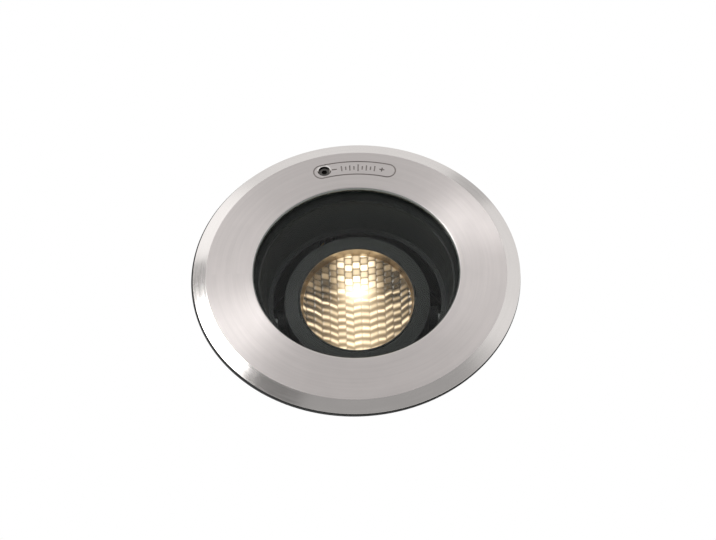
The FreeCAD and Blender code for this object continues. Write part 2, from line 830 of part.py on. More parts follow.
def add_deck_holes(body):
    first = S.key_angle - S.stud_offset
    sketch = new_sketch(body, "XY_Plane", TRIM_LOW)
    draw_circle(sketch, KEY_CIRCLE * cosine(first), KEY_CIRCLE * sine(first),
                S.stud_radius + S.stud_hole_gap)
    hole = add_pocket(body, sketch, S.deck_thick + OVERCUT)
    add_ring_of(body, hole, S.stud_count)
    sketch = new_sketch(body, "XY_Plane", TRIM_LOW)
    draw_circle(sketch, KEY_X, KEY_Y, S.spindle_bush_radius)
    add_pocket(body, sketch, S.deck_thick + OVERCUT)
    sketch = new_sketch(body, "XY_Plane", SHELF_TOP)
    draw_circle(sketch, FRAME_SCREW_CIRCLE * math.sqrt(0.5),
                FRAME_SCREW_CIRCLE * math.sqrt(0.5), S.frame_screw_radius)
    hole = add_pocket(body, sketch, S.frame_screw_length - S.frame_thick + S.screw_hole_room)
    add_ring_of(body, hole, S.frame_screw_count)
    sketch = new_sketch(body, "XY_Plane", SHELF_TOP)
    draw_circle(sketch, KEY_X, KEY_Y, S.foot_bearing_radius + S.running_gap)
    add_pocket(body, sketch, S.shelf_thick / 2)


def add_floor_holes(body):
    sketch = new_sketch(body, "XY_Plane", FLOOR_TOP)
    draw_circle(sketch, 0, -S.port_place, S.gland_thread_radius)
    draw_circle(sketch, 0, S.port_place, S.vent_thread_radius)
    add_pocket(body, sketch, S.floor_thick + OVERCUT)


# ---------------------------------------------------------------- gimbal frame

def make_gimbal_frame():
    body = ring(S.frame_inner, FRAME_OUT, SHELF_TOP, FRAME_TOP)
    ear_top = PIVOT + S.ear_rise - S.ear_half_width
    ears = []
    bores = []
    for side in (-1, 1):
        inner, outer = S.ear_place * side, (S.ear_place + S.ear_thick) * side
        low, high = (inner, outer) if side > 0 else (outer, inner)
        across = (-S.ear_half_width, S.ear_half_width)
        ears.append(box((low, high), across, (SHELF_TOP, ear_top)))
        ears.append(rod_along_x(S.ear_half_width, (low, high), z=ear_top))
        bores.append(rod_along_x(TRUNNION_BUSH_OUT, (low - OVERCUT, high + OVERCUT), z=PIVOT))
    bores.append(rod(S.foot_bearing_radius, S.frame_thick + OVERCUT * 2, KEY_X, KEY_Y,
                     SHELF_TOP - OVERCUT))
    bores.append(rod(S.lead_hole_radius, S.frame_thick + OVERCUT * 2, -S.lead_hole_place, 0,
                     SHELF_TOP - OVERCUT))
    quarter = as_size(FULL_TURN / 8)
    bores += around(S.frame_screw_count, FRAME_SCREW_CIRCLE, quarter, SHELF_TOP - OVERCUT,
                    lambda: rod(S.frame_screw_radius, S.frame_thick + OVERCUT * 2))
    node("gimbal_frame", cut(fuse([body] + ears), bores))
    screws = around(S.frame_screw_count, FRAME_SCREW_CIRCLE, quarter, FRAME_TOP,
                    lambda: screw(S.frame_screw_radius, S.frame_screw_length,
                                  S.frame_screw_head, S.frame_screw_head_height))
    node("frame_screws", group(screws))


def make_trunnion_bushes():
    bushes = []
    for side in (-1, 1):
        bore = S.trunnion_radius + S.running_gap
        flange_end = S.ear_place - S.bush_flange_thick
        bush = spin([(bore, flange_end), (S.bush_flange_radius, flange_end),
                     (S.bush_flange_radius, S.ear_place), (TRUNNION_BUSH_OUT, S.ear_place),
                     (TRUNNION_BUSH_OUT, S.ear_place + S.ear_thick),
                     (bore, S.ear_place + S.ear_thick)])
        bushes.append(place(bush, z=PIVOT, axis=(0, 1, 0), angle=as_size(90 * side)))
    node("trunnion_bushes", group(bushes))


# ---------------------------------------------------------------- lamp head

def make_lamp_cup():
    wall_in = S.cup_radius - S.cup_wall
    shell = spin([(wall_in, SINK_TOP), (S.cup_radius, SINK_TOP), (S.cup_radius, S.cup_top),
                  (wall_in, S.cup_top)])
    inside = rod(wall_in, S.sink_drop + S.cup_top + OVERCUT * 2, z=SINK_TOP - OVERCUT)
    bosses = []
    bores = []
    for side in (-1, 1):
        start, end = (S.cup_radius - S.cup_wall / 2) * side, S.cup_boss_end * side
        low, high = (start, end) if side > 0 else (end, start)
        bosses.append(rod_along_x(S.cup_boss_radius, (low, high)))
        bores.append(rod_along_x(S.trunnion_radius, (low - S.cup_wall * 2, high + S.cup_wall * 2)))
    bosses.append(box((KEY_X - S.fork_base_half_width, KEY_X + S.fork_base_half_width),
                      (S.fork_base_root, S.fork_base_place),
                      (-S.fork_base_half_height, S.fork_base_half_height)))
    outer = cut(cut(fuse([shell] + bosses), [inside]), bores)
    pads = around(S.sink_screw_count, S.sink_screw_circle, as_size(FULL_TURN / 8), SINK_TOP,
                  lambda: rod(S.sink_screw_boss, S.sink_screw_boss_rise))
    hollows = around(S.sink_screw_count, S.sink_screw_circle, as_size(FULL_TURN / 8), SINK_TOP,
                     lambda: rod(S.sink_screw_radius, S.sink_screw_bite))
    for side in (-1, 1):
        hollows.append(rod(S.fork_screw_radius, S.fork_screw_length, KEY_X
                           + S.fork_screw_spread * side,
                           S.fork_base_place, 0, (1, 0, 0), 90))
    cup = cut(fuse([outer] + pads), hollows)
    node("lamp_cup", ride_head(cup))


def make_glare_ring():
    wall_in = S.cup_radius - S.cup_wall
    node("glare_ring", ride_head(spin([
        (S.glare_inner, S.glare_inner_rise), (S.glare_inner, S.glare_inner_rise - S.glare_plate),
        (wall_in, S.cup_top), (S.cup_radius, S.cup_top), (S.cup_radius, S.glare_outer_rise)])))


def make_reflector():
    """The bowl, and the lens that lies on the ledge below its rim."""
    wall = S.reflector_wall
    lens_edge = S.reflector_radius - S.lens_inset
    lens_top = S.rim_rise - S.lens_drop
    ledge = lens_top - S.lens_thick
    throat = lens_edge - S.lens_ledge
    seat = lens_edge + S.lens_gap
    node("reflector", ride_head(spin([
        (S.reflector_foot, HOLDER_TOP), (S.reflector_foot + wall, HOLDER_TOP, S.reflector_curve),
        (throat + wall, ledge - wall), (seat + wall, ledge - wall),
        (S.reflector_radius + wall, S.rim_rise), (S.reflector_radius, S.rim_rise),
        (seat, ledge), (throat, ledge, -S.reflector_curve)])))
    node("beam_lens", ride_head(spin([
        (0, ledge), (lens_edge, ledge), (lens_edge, lens_top - S.lens_chamfer),
        (lens_edge - S.lens_chamfer, lens_top), (0, lens_top)])))


def make_light_source():
    half = S.board_side / 2
    pocket = half + S.board_gap
    disc = ring(S.holder_bore, S.holder_radius, SINK_TOP, HOLDER_TOP)
    seat = box((-pocket, pocket), (-pocket, pocket), (SINK_TOP - OVERCUT, BOARD_TOP))
    node("led_holder", ride_head(cut(disc, [seat])))
    pad = box((-half, half), (-half, half), (SINK_TOP, BOARD_LOW))
    node("thermal_pad", ride_head(group([pad])))
    board = box((-half, half), (-half, half), (BOARD_LOW, BOARD_TOP))
    node("led_board", ride_head(group([board])))
    phosphor = rod(S.phosphor_radius, S.phosphor_thick, z=BOARD_TOP)
    node("phosphor_disc", ride_head(group([phosphor])))


def make_heat_sink():
    fins_low = SINK_LOW - S.sink_fin_height
    body = spin([(0, fins_low), (S.sink_radius, fins_low), (S.sink_radius, SINK_LOW),
                 (S.cup_radius, SINK_LOW), (S.cup_radius, SINK_TOP), (0, SINK_TOP)], "Sink")
    pitch = S.sink_slot_width + S.sink_fin_thick
    sketch = new_sketch(body, "XY_Plane", SINK_LOW)
    left = -pitch * (S.sink_slot_count - 1) / 2 - S.sink_slot_width / 2
    right = left + S.sink_slot_width
    reach = S.sink_radius + OVERCUT
    draw_outline(sketch, [(left, -reach), (right, -reach), (right, reach), (left, reach)])
    slot = add_pocket(body, sketch, S.sink_fin_height + OVERCUT)
    pattern = body.newObject("PartDesign::LinearPattern", "LinearPattern")
    pattern.Originals = [slot]
    pattern.Direction = (origin_of(body, "X_Axis"), [""])
    bind(pattern, "Length", pitch * (S.sink_slot_count - 1))
    bind(pattern, "Occurrences", S.sink_slot_count)
    body.Tip = pattern
    eighth = as_size(FULL_TURN / 8)
    sketch = new_sketch(body, "XY_Plane", SINK_TOP)
    draw_circle(sketch, S.sink_screw_circle * cosine(eighth),
                S.sink_screw_circle * sine(eighth), S.sink_screw_radius)
    hole = add_pocket(body, sketch, S.sink_base_thick)
    add_ring_of(body, hole, S.sink_screw_count)
    sketch = new_sketch(body, "XY_Plane", SINK_LOW)
    draw_circle(sketch, S.sink_screw_circle * cosine(eighth),
                S.sink_screw_circle * sine(eighth), S.sink_screw_head + S.sink_screw_room)
    relief = add_pocket(body, sketch, S.sink_fin_height + OVERCUT)
    add_ring_of(body, relief, S.sink_screw_count)
    node("heat_sink", ride_head(body))


def make_trunnion_pins():
    seat = S.cup_radius - S.cup_wall - S.trunnion_head_seat
    head = seat - S.trunnion_head_thick
    clip_low = S.ear_place + S.ear_thick + S.trunnion_clip_gap
    pins = []
    clips = []
    for side in (-1, 1):
        turn = as_size(90 * side)
        pin = spin([(S.trunnion_bore, head), (S.trunnion_head_radius, head),
                    (S.trunnion_head_radius, seat), (S.trunnion_radius, seat),
                    (S.trunnion_radius, S.trunnion_end), (S.trunnion_bore, S.trunnion_end)])
        pins.append(place(pin, axis=(0, 1, 0), angle=turn))
        clip = ring(S.trunnion_radius, S.trunnion_clip_radius, clip_low,
                    clip_low + S.trunnion_clip_thick)
        clips.append(place(clip, axis=(0, 1, 0), angle=turn))
    node("trunnion_pins", ride_head(group(pins)))
    node("trunnion_clips", ride_head(group(clips)))


def make_fork():
    arm_half = S.nut_pin_radius + S.fork_gap + S.fork_arm_edge
    slot_half = S.nut_pin_radius + S.fork_gap
    slot_near = KEY_Y - S.fork_slot_inward
    slot_far = KEY_Y + S.fork_slot_outward
    base_end = S.fork_base_place + S.fork_base_thick
    width = S.fork_base_half_width
    pieces = [box((KEY_X - width, KEY_X + width), (S.fork_base_place, base_end),
                  (-S.fork_base_half_height, S.fork_base_half_height))]
    slots = []
    for side in (-1, 1):
        inner = S.nut_half_width + S.fork_gap
        outer = inner + S.fork_arm_thick
        low, high = (inner, outer) if side > 0 else (-outer, -inner)
        span = (KEY_X + low, KEY_X + high)
        pieces.append(box(span, (S.fork_base_place, slot_far), (-arm_half, arm_half)))
        pieces.append(rod_along_x(arm_half, span, slot_far))
        past = (span[0] - OVERCUT, span[1] + OVERCUT)
        slots.append(box(past, (slot_near, slot_far), (-slot_half, slot_half)))
        slots.append(rod_along_x(slot_half, past, slot_near))
        slots.append(rod_along_x(slot_half, past, slot_far))
        slots.append(rod(S.fork_screw_radius, S.fork_base_thick + OVERCUT * 2,
                         KEY_X + S.fork_screw_spread * side, base_end + OVERCUT, 0, (1, 0, 0), 90))
    node("tilt_fork", ride_head(cut(fuse(pieces), slots)))
    screws = []
    for side in (-1, 1):
        piece = screw(S.fork_screw_radius, S.fork_screw_length, S.fork_screw_head,
                      S.fork_screw_head_height)
        place(piece, KEY_X + S.fork_screw_spread * side, base_end, 0, (1, 0, 0), -90)
        screws.append(piece)
    node("fork_screws", ride_head(group(screws)))


def make_sink_screws():
    def turned_over():
        return screw(S.sink_screw_radius, S.sink_screw_length, S.sink_screw_head,
                     S.sink_screw_head_height)
    screws = []
    for index in range(int(S.sink_screw_count.value)):
        angle = FULL_TURN / 8 + FULL_TURN * index / S.sink_screw_count
        piece = turned_over()
        place(piece, S.sink_screw_circle * cosine(angle), S.sink_screw_circle * sine(angle),
              SINK_LOW, (1, 0, 0), 180)
        screws.append(piece)
    node("heat_sink_screws", ride_head(group(screws)))


# ---------------------------------------------------------------- tilt screw

def make_spindle():
    head_top = TRIM_TOP - S.spindle_head_drop
    head_low = head_top - S.spindle_head_height
    shoulder = FRAME_TOP + S.foot_bearing_flange_thick + S.foot_bearing_gap
    body = spin([(0, head_top), (S.spindle_head_radius, head_top),
                 (S.spindle_head_radius, head_low), (S.spindle_radius, head_low),
                 (S.spindle_radius, shoulder), (S.spindle_foot_radius, shoulder),
                 (S.spindle_foot_radius, SHELF_TOP), (0, SHELF_TOP)], "Spindle")
    sketch = new_sketch(body, "XY_Plane", head_top)
    draw_outline(sketch, hexagon(S.spindle_socket_flats))
    add_pocket(body, sketch, S.spindle_socket_depth)
    node("adjuster_spindle", place(body, KEY_X, KEY_Y))


def make_spindle_bush():
    bore = S.spindle_radius + S.running_gap
    head_low = TRIM_TOP - S.spindle_head_drop - S.spindle_head_height
    mouth = S.spindle_head_radius + S.running_gap
    mouth_low = head_low - S.spindle_head_room
    low = TRIM_LOW - S.spindle_bush_length
    shoulder_low = DECK_LOW - S.spindle_bush_shoulder_thick
    body = spin([(bore, low), (S.spindle_bush_radius, low), (S.spindle_bush_radius, shoulder_low),
                 (S.spindle_bush_shoulder, shoulder_low), (S.spindle_bush_shoulder, DECK_LOW),
                 (S.spindle_bush_radius, DECK_LOW), (S.spindle_bush_radius, TRIM_LOW),
                 (mouth, TRIM_LOW), (mouth, mouth_low), (bore, mouth_low)])
    groove_out = bore + S.oring_section * 2 + S.oring_groove_depth_room
    grooves = []
    rings = []
    for index in range(2):
        height = TRIM_LOW - S.oring_high - S.oring_pitch * index - S.oring_section
        half = S.oring_section + S.oring_groove_side_room
        grooves.append(rod(groove_out, half * 2, z=height - half))
        torus = doc.addObject("Part::Torus", "Oring")
        bind(torus, "Radius1", bore + S.oring_section)
        bind(torus, "Radius2", S.oring_section)
        rings.append(place(torus, KEY_X, KEY_Y, height))
    node("spindle_bush", place(cut(body, grooves), KEY_X, KEY_Y))
    node("spindle_orings", group(rings))
    collar_top = low - S.collar_gap
    collar = ring(S.spindle_radius, S.collar_radius, collar_top - S.collar_thick, collar_top)
    node("spindle_collar", place(collar, KEY_X, KEY_Y))


def make_foot_bearing():
    flange_top = FRAME_TOP + S.foot_bearing_flange_thick
    bore = S.spindle_foot_radius + S.running_gap
    body = spin([(bore, SHELF_TOP), (S.foot_bearing_radius, SHELF_TOP),
                 (S.foot_bearing_radius, FRAME_TOP), (S.foot_bearing_flange, FRAME_TOP),
                 (S.foot_bearing_flange, flange_top), (bore, flange_top)])
    node("foot_bearing", place(body, KEY_X, KEY_Y))


def make_travel_nut():
    half, tall = S.nut_half_width, S.nut_half_height
    block = box((-half, half), (-half, half), (-tall, tall))
    pins = rod_along_x(S.nut_pin_radius, (-S.nut_pin_reach, S.nut_pin_reach))
    bore = rod(S.spindle_radius + S.running_gap, tall * 2 + OVERCUT * 2, z=-tall - OVERCUT)
    nut = cut(fuse([block, pins]), [bore])
    rest_height = PIVOT + KEY_Y * tangent(S.rest_tilt)
    node("travel_nut", place(nut, KEY_X, KEY_Y, rest_height))


# ---------------------------------------------------------------- driver and wiring

def make_driver():
    length, width = S.driver_half_length, S.driver_half_width
    tab_low = FLOOR_TOP + S.driver_post_height
    tab_top = tab_low + S.driver_tab_thick
    tab_end = S.driver_post_place + S.driver_post_radius
    case = box((-length, length), (-width, width), (FLOOR_TOP, FLOOR_TOP + S.driver_height))
    tab_half = S.driver_tab_half_width
    tabs = box((-tab_end, tab_end), (-tab_half, tab_half), (tab_low, tab_top))
    holes = [rod(S.driver_screw_radius, S.driver_tab_thick + OVERCUT * 2,
                 S.driver_post_place * side, 0, tab_low - OVERCUT) for side in (-1, 1)]
    node("led_driver", cut(fuse([case, tabs]), holes))
    screws = []
    for side in (-1, 1):
        piece = screw(S.driver_screw_radius, S.driver_screw_length, S.driver_screw_head,
                      S.driver_screw_head_height)
        screws.append(place(piece, S.driver_post_place * side, 0, tab_top))
    node("driver_screws", group(screws))


def make_terminal_block():
    top = FLOOR_TOP + S.terminal_height
    block = box((S.terminal_near, S.terminal_far), (S.terminal_front, S.terminal_back),
                (FLOOR_TOP, top))
    thirds = (S.terminal_far - S.terminal_near) / 3
    middle = (S.terminal_front + S.terminal_back) / 2
    wells = [rod(S.terminal_well_radius, S.terminal_well_depth + OVERCUT,
                 S.terminal_near + thirds * (index + 0.5), middle - S.terminal_well_offset,
                 top - S.terminal_well_depth) for index in range(3)]
    node("terminal_block", cut(block, wells))


def make_gland():
    hex_low = FLOOR_LOW - S.gland_hex_height
    thread_top = FLOOR_TOP + S.gland_thread_rise
    neck_low = hex_low - S.gland_neck_length
    stem = spin([(S.gland_bore, neck_low), (S.gland_neck_radius, neck_low),
                 (S.gland_neck_radius, FLOOR_LOW), (S.gland_thread_radius, FLOOR_LOW),
                 (S.gland_thread_radius, thread_top), (S.gland_bore, thread_top)])
    flange = place(hex_nut(S.gland_flats, S.gland_neck_radius, S.gland_hex_height), z=hex_low)
    node("gland_body", place(fuse([stem, flange]), 0, -S.port_place))
    lock = hex_nut(S.gland_flats, S.gland_thread_radius, S.gland_locknut_height)
    node("gland_locknut", place(lock, 0, -S.port_place, FLOOR_TOP))
    nut_low = hex_low - S.gland_nut_length
    seal_top = neck_low
    seal_low = nut_low + S.gland_nut_shoulder
    inner = S.gland_neck_radius
    nut = spin([(S.gland_nut_mouth, nut_low), (S.gland_nut_mouth + S.gland_nut_lip, nut_low),
                (S.gland_nut_radius, nut_low + S.gland_nut_cone), (S.gland_nut_radius, hex_low),
                (inner, hex_low), (inner, seal_low), (S.gland_nut_mouth, seal_low)])
    node("gland_nut", place(nut, 0, -S.port_place))
    seal = ring(S.gland_seal_bore, inner, seal_low, seal_top)
    node("gland_seal", place(seal, 0, -S.port_place))


def make_vent():
    node("vent_plug", place(spin([
        (0, FLOOR_LOW - S.vent_height), (S.vent_radius - S.vent_chamfer, FLOOR_LOW - S.vent_height),
        (S.vent_radius, FLOOR_LOW - S.vent_height + S.vent_chamfer), (S.vent_radius, FLOOR_LOW),
        (S.vent_thread_radius, FLOOR_LOW), (S.vent_thread_radius, FLOOR_TOP + S.vent_thread_rise),
        (0, FLOOR_TOP + S.vent_thread_rise)]), 0, S.port_place))


def make_leads():
    thread_top = FLOOR_TOP + S.gland_thread_rise
    high = thread_top + S.mains_lead_rise
    block_x = (S.terminal_near + S.terminal_far) / 2
    block_y = (S.terminal_front + S.terminal_back) / 2
    front = -S.port_place
    node("mains_lead", lead([(0, front, thread_top - S.gland_thread_rise), (0, front, high),
                             (block_x, block_y, high),
                             (block_x, block_y, FLOOR_TOP + S.terminal_height)],
                            S.mains_lead_radius, S.mains_lead_bend))
    out = FLOOR_TOP + S.led_lead_height
    side = -S.lead_hole_place
    node("led_lead_fixed", lead([(-S.driver_half_length, 0, out), (side, 0, out),
                                 (side, 0, PIVOT), (-S.led_lead_meet, 0, PIVOT)],
                                S.led_lead_radius, S.led_lead_bend))
    drop = -S.led_lead_drop
    entry = SINK_TOP + S.holder_height / 2
    tail = lead([(-S.led_lead_meet, 0, 0), (drop, 0, 0), (drop, 0, entry),
                 (-S.holder_radius, 0, entry)], S.led_lead_radius, S.led_lead_bend)
    node("led_lead_head", ride_head(tail))


# ---------------------------------------------------------------- spring clips

def spring_clip():
    """A bowed strip in the XZ plane: foot on the can, crest just short of the sleeve."""
    strip = S.clip_strip
    foot = BARREL_OUT
    crest = SLEEVE_IN - S.clip_gap
    tip = foot + S.clip_tip_reach
    body = doc.addObject("PartDesign::Body", "Clip")
    sketch = new_sketch(body, "XZ_Plane")
    draw_outline(sketch, [
        (foot, -S.clip_foot_low), (foot + strip, -S.clip_foot_low),
        (foot + strip, -S.clip_foot_high), (crest, -S.clip_crest - S.clip_crest_half),
        (crest, S.clip_crest_half - S.clip_crest), (tip + strip, -S.clip_tip), (tip, -S.clip_tip),
        (crest - strip, S.clip_crest_inner_half - S.clip_crest),
        (crest - strip, -S.clip_crest - S.clip_crest_inner_half),
        (foot, S.clip_foot_lead - S.clip_foot_high)])
    add_pad(body, sketch, S.clip_half_width * 2, centred=True)
    return body


def drilled_clip():
    through = (BARREL_OUT - OVERCUT, BARREL_OUT + S.clip_strip + OVERCUT)
    hole = rod_along_x(S.clip_screw_radius, through, z=CLIP_SCREW)
    return cut(spring_clip(), [hole])


def clip_screw():
    piece = screw(S.clip_screw_radius, S.clip_screw_length, S.clip_screw_head,
                  S.clip_screw_head_height)
    return place(piece, BARREL_OUT + S.clip_strip, 0, CLIP_SCREW, (0, 1, 0), 90)


def make_spring_clips():
    node("spring_clips", group(around_axis(S.clip_count, S.clip_angle, drilled_clip)))
    node("clip_screws", group(around_axis(S.clip_count, S.clip_angle, clip_screw)))


# ---------------------------------------------------------------- build and write

def build():
    make_sleeve()
    make_blanking_plug()
    make_seat_gasket()
    make_trim()
    make_trim_fixings()
    make_glass()
    make_well_liner()
    make_housing()
    make_gimbal_frame()
    make_trunnion_bushes()
    make_lamp_cup()
    make_glare_ring()
    make_reflector()
    make_light_source()
    make_heat_sink()
    make_sink_screws()
    make_trunnion_pins()
    make_fork()
    make_spindle()
    make_spindle_bush()
    make_foot_bearing()
    make_travel_nut()
    make_driver()
    make_terminal_block()
    make_gland()
    make_vent()
    make_leads()
    make_spring_clips()


def check_model():
    doc.recompute()
    for item in doc.Objects:
        if "Invalid" in item.State or "Error" in item.State:
            raise RuntimeError("%s (%s) failed: %s" % (item.Name, item.Label, item.State))
    for label, item in nodes.items():
        shape = item.Shape
        if shape.isNull() or not shape.isValid() or not shape.Solids:
            raise RuntimeError("%s has no valid solid" % label)
        print("%-22s solids %2d  volume %10.1f mm3" % (label, len(shape.Solids), shape.Volume))


def write_steps():
    os.makedirs("parts", exist_ok=True)
    for label, item in nodes.items():
        item.Shape.exportStep("parts/%s.step" % label)


build()
check_model()
write_steps()
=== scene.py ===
import json
import math

import bmesh
import bpy
from mathutils import Matrix, Vector


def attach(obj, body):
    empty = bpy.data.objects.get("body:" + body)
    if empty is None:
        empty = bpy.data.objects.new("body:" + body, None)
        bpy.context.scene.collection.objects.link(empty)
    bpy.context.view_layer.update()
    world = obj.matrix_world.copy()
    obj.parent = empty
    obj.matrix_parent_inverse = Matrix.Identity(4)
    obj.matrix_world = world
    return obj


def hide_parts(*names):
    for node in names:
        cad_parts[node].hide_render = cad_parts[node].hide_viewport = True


# In-ground well light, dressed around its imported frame. Pieces are drawn in millimetres in the
# part's own frame (ring axis at ground level, +Z up, -Y toward the viewer) and scaled once.

MM = 0.001
STEPS = 256                 # facets round a large ring
PIVOT = -50.0               # height of the tilt axis
REST_TILT = 6.0             # how far the lamp leans to the front at rest, in degrees
HEAD = (Matrix.Translation((0, 0, PIVOT * MM))
        @ Matrix.Rotation(math.radians(REST_TILT), 4, "X"))

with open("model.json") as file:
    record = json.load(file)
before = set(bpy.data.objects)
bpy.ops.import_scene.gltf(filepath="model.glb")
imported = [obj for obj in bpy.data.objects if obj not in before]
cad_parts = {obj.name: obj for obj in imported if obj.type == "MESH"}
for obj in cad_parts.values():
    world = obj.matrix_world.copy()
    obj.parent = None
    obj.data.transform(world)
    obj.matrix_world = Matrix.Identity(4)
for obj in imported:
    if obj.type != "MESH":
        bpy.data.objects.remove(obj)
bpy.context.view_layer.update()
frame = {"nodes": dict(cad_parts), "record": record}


# ---------------------------------------------------------------- node helpers

def put(tree, kind, wires=None, **settings):
    """Adds a node; wires gives its inputs, each a plain value or another node's socket."""
    made = tree.nodes.new(kind)
    for key, value in settings.items():
        setattr(made, key, value)
    for key, value in (wires or {}).items():
        if isinstance(value, bpy.types.NodeSocket):
            tree.links.new(value, made.inputs[key])
        else:
            made.inputs[key].default_value = value
    return made


def sums(tree, operation, first, second=None, third=None, clamp=False):
    """A math node's output."""
    wires = {0: first}
    if second is not None:
        wires[1] = second
    if third is not None:
        wires[2] = third
    return put(tree, "ShaderNodeMath", wires, operation=operation, use_clamp=clamp).outputs[0]


def spread(tree, value, low, high, to_low=0.0, to_high=1.0, smooth=True):
    """Maps low..high to to_low..to_high, held at both ends."""
    return put(tree, "ShaderNodeMapRange",
               {"Value": value, "From Min": low, "From Max": high, "To Min": to_low,
                "To Max": to_high},
               interpolation_type="SMOOTHSTEP" if smooth else "LINEAR").outputs[0]


def tint(tree, share, first, second, blend="MIX"):
    """Mixes two colours by share."""
    made = put(tree, "ShaderNodeMix", {"Factor": share}, data_type="RGBA", blend_type=blend)
    for index, value in ((6, first), (7, second)):
        if isinstance(value, bpy.types.NodeSocket):
            tree.links.new(value, made.inputs[index])
        else:
            made.inputs[index].default_value = value
    return made.outputs[2]


def new_group(name, inputs, outputs):
    """A shader group with named sockets; returns the tree, its input node and output node."""
    tree = bpy.data.node_groups.new(name, "ShaderNodeTree")
    for label, kind, default in inputs:
        socket = tree.interface.new_socket(name=label, in_out="INPUT", socket_type=kind)
        socket.default_value = default
    for label, kind in outputs:
        tree.interface.new_socket(name=label, in_out="OUTPUT", socket_type=kind)
    return tree, tree.nodes.new("NodeGroupInput"), tree.nodes.new("NodeGroupOutput")


def noise(tree, vector, scale, detail=2.0, roughness=0.5):
    return put(tree, "ShaderNodeTexNoise", {"Vector": vector, "Scale": scale, "Detail": detail,
                                            "Roughness": roughness}).outputs["Fac"]


FLOAT, COLOUR, VECTOR = "NodeSocketFloat", "NodeSocketColor", "NodeSocketVector"
EDGE_REACH = 0.9            # how far wear reaches in from a sharp edge
DUST_COLOUR = (0.42, 0.39, 0.35, 1)


def make_surface_group():
    """Uneven tone, worn edges, a little dust and a fine grain, for any moulded or cast finish."""
    tree, given, result = new_group("Used surface", [
        ("Colour", COLOUR, (0.5, 0.5, 0.5, 1)), ("Tone spread", FLOAT, 0.1),
        ("Roughness", FLOAT, 0.5), ("Grain per metre", FLOAT, 2000.0),
        ("Grain depth", FLOAT, 0.00003), ("Edge colour", COLOUR, (0.6, 0.6, 0.6, 1)),
        ("Edge wear", FLOAT, 0.2), ("Dust", FLOAT, 0.1)],
        [("Colour", COLOUR), ("Roughness", FLOAT), ("Normal", VECTOR)])
    place = put(tree, "ShaderNodeTexCoord").outputs["Object"]
    broad = noise(tree, place, 45.0, 4.0, 0.6)
    patches = noise(tree, place, 260.0, 3.0, 0.55)
    fine = noise(tree, place, given.outputs["Grain per metre"], 2.0)
    high = sums(tree, "ADD", given.outputs["Tone spread"], 1.0)
    low = sums(tree, "SUBTRACT", 1.0, given.outputs["Tone spread"])
    tone = spread(tree, broad, 0.32, 0.68, low, high)
    toned = tint(tree, 1.0, given.outputs["Colour"], tone, "MULTIPLY")
    form = put(tree, "ShaderNodeNewGeometry")
    rounded = put(tree, "ShaderNodeBevel", {"Radius": EDGE_REACH * MM}, samples=4).outputs[0]
    flush = put(tree, "ShaderNodeVectorMath", {0: rounded, 1: form.outputs["Normal"]},
                operation="DOT_PRODUCT").outputs["Value"]
    edge = spread(tree, flush, 0.86, 0.995, 1.0, 0.0)
    worn = sums(tree, "MULTIPLY", sums(tree, "MULTIPLY", edge, spread(tree, patches, 0.4, 0.62)),
                given.outputs["Edge wear"])
    toned = tint(tree, worn, toned, given.outputs["Edge colour"])
    up = put(tree, "ShaderNodeSeparateXYZ", {0: form.outputs["Normal"]}).outputs["Z"]
    settled = sums(tree, "MULTIPLY", spread(tree, up, 0.3, 1.0, 0.25, 1.0),
                   spread(tree, patches, 0.35, 0.75))
    settled = sums(tree, "MULTIPLY", settled, given.outputs["Dust"])
    tree.links.new(tint(tree, settled, toned, DUST_COLOUR), result.inputs["Colour"])
    rough = sums(tree, "ADD", given.outputs["Roughness"],
                 spread(tree, fine, 0.3, 0.7, -0.05, 0.05))
    rough = sums(tree, "ADD", rough, spread(tree, patches, 0.3, 0.7, -0.04, 0.06))
    tree.links.new(sums(tree, "ADD", rough, sums(tree, "MULTIPLY", settled, 0.4), clamp=True),
                   result.inputs["Roughness"])
    relief = put(tree, "ShaderNodeBump", {"Strength": 1.0, "Height": fine,
                                          "Distance": given.outputs["Grain depth"]})
    tree.links.new(relief.outputs["Normal"], result.inputs["Normal"])
    return tree


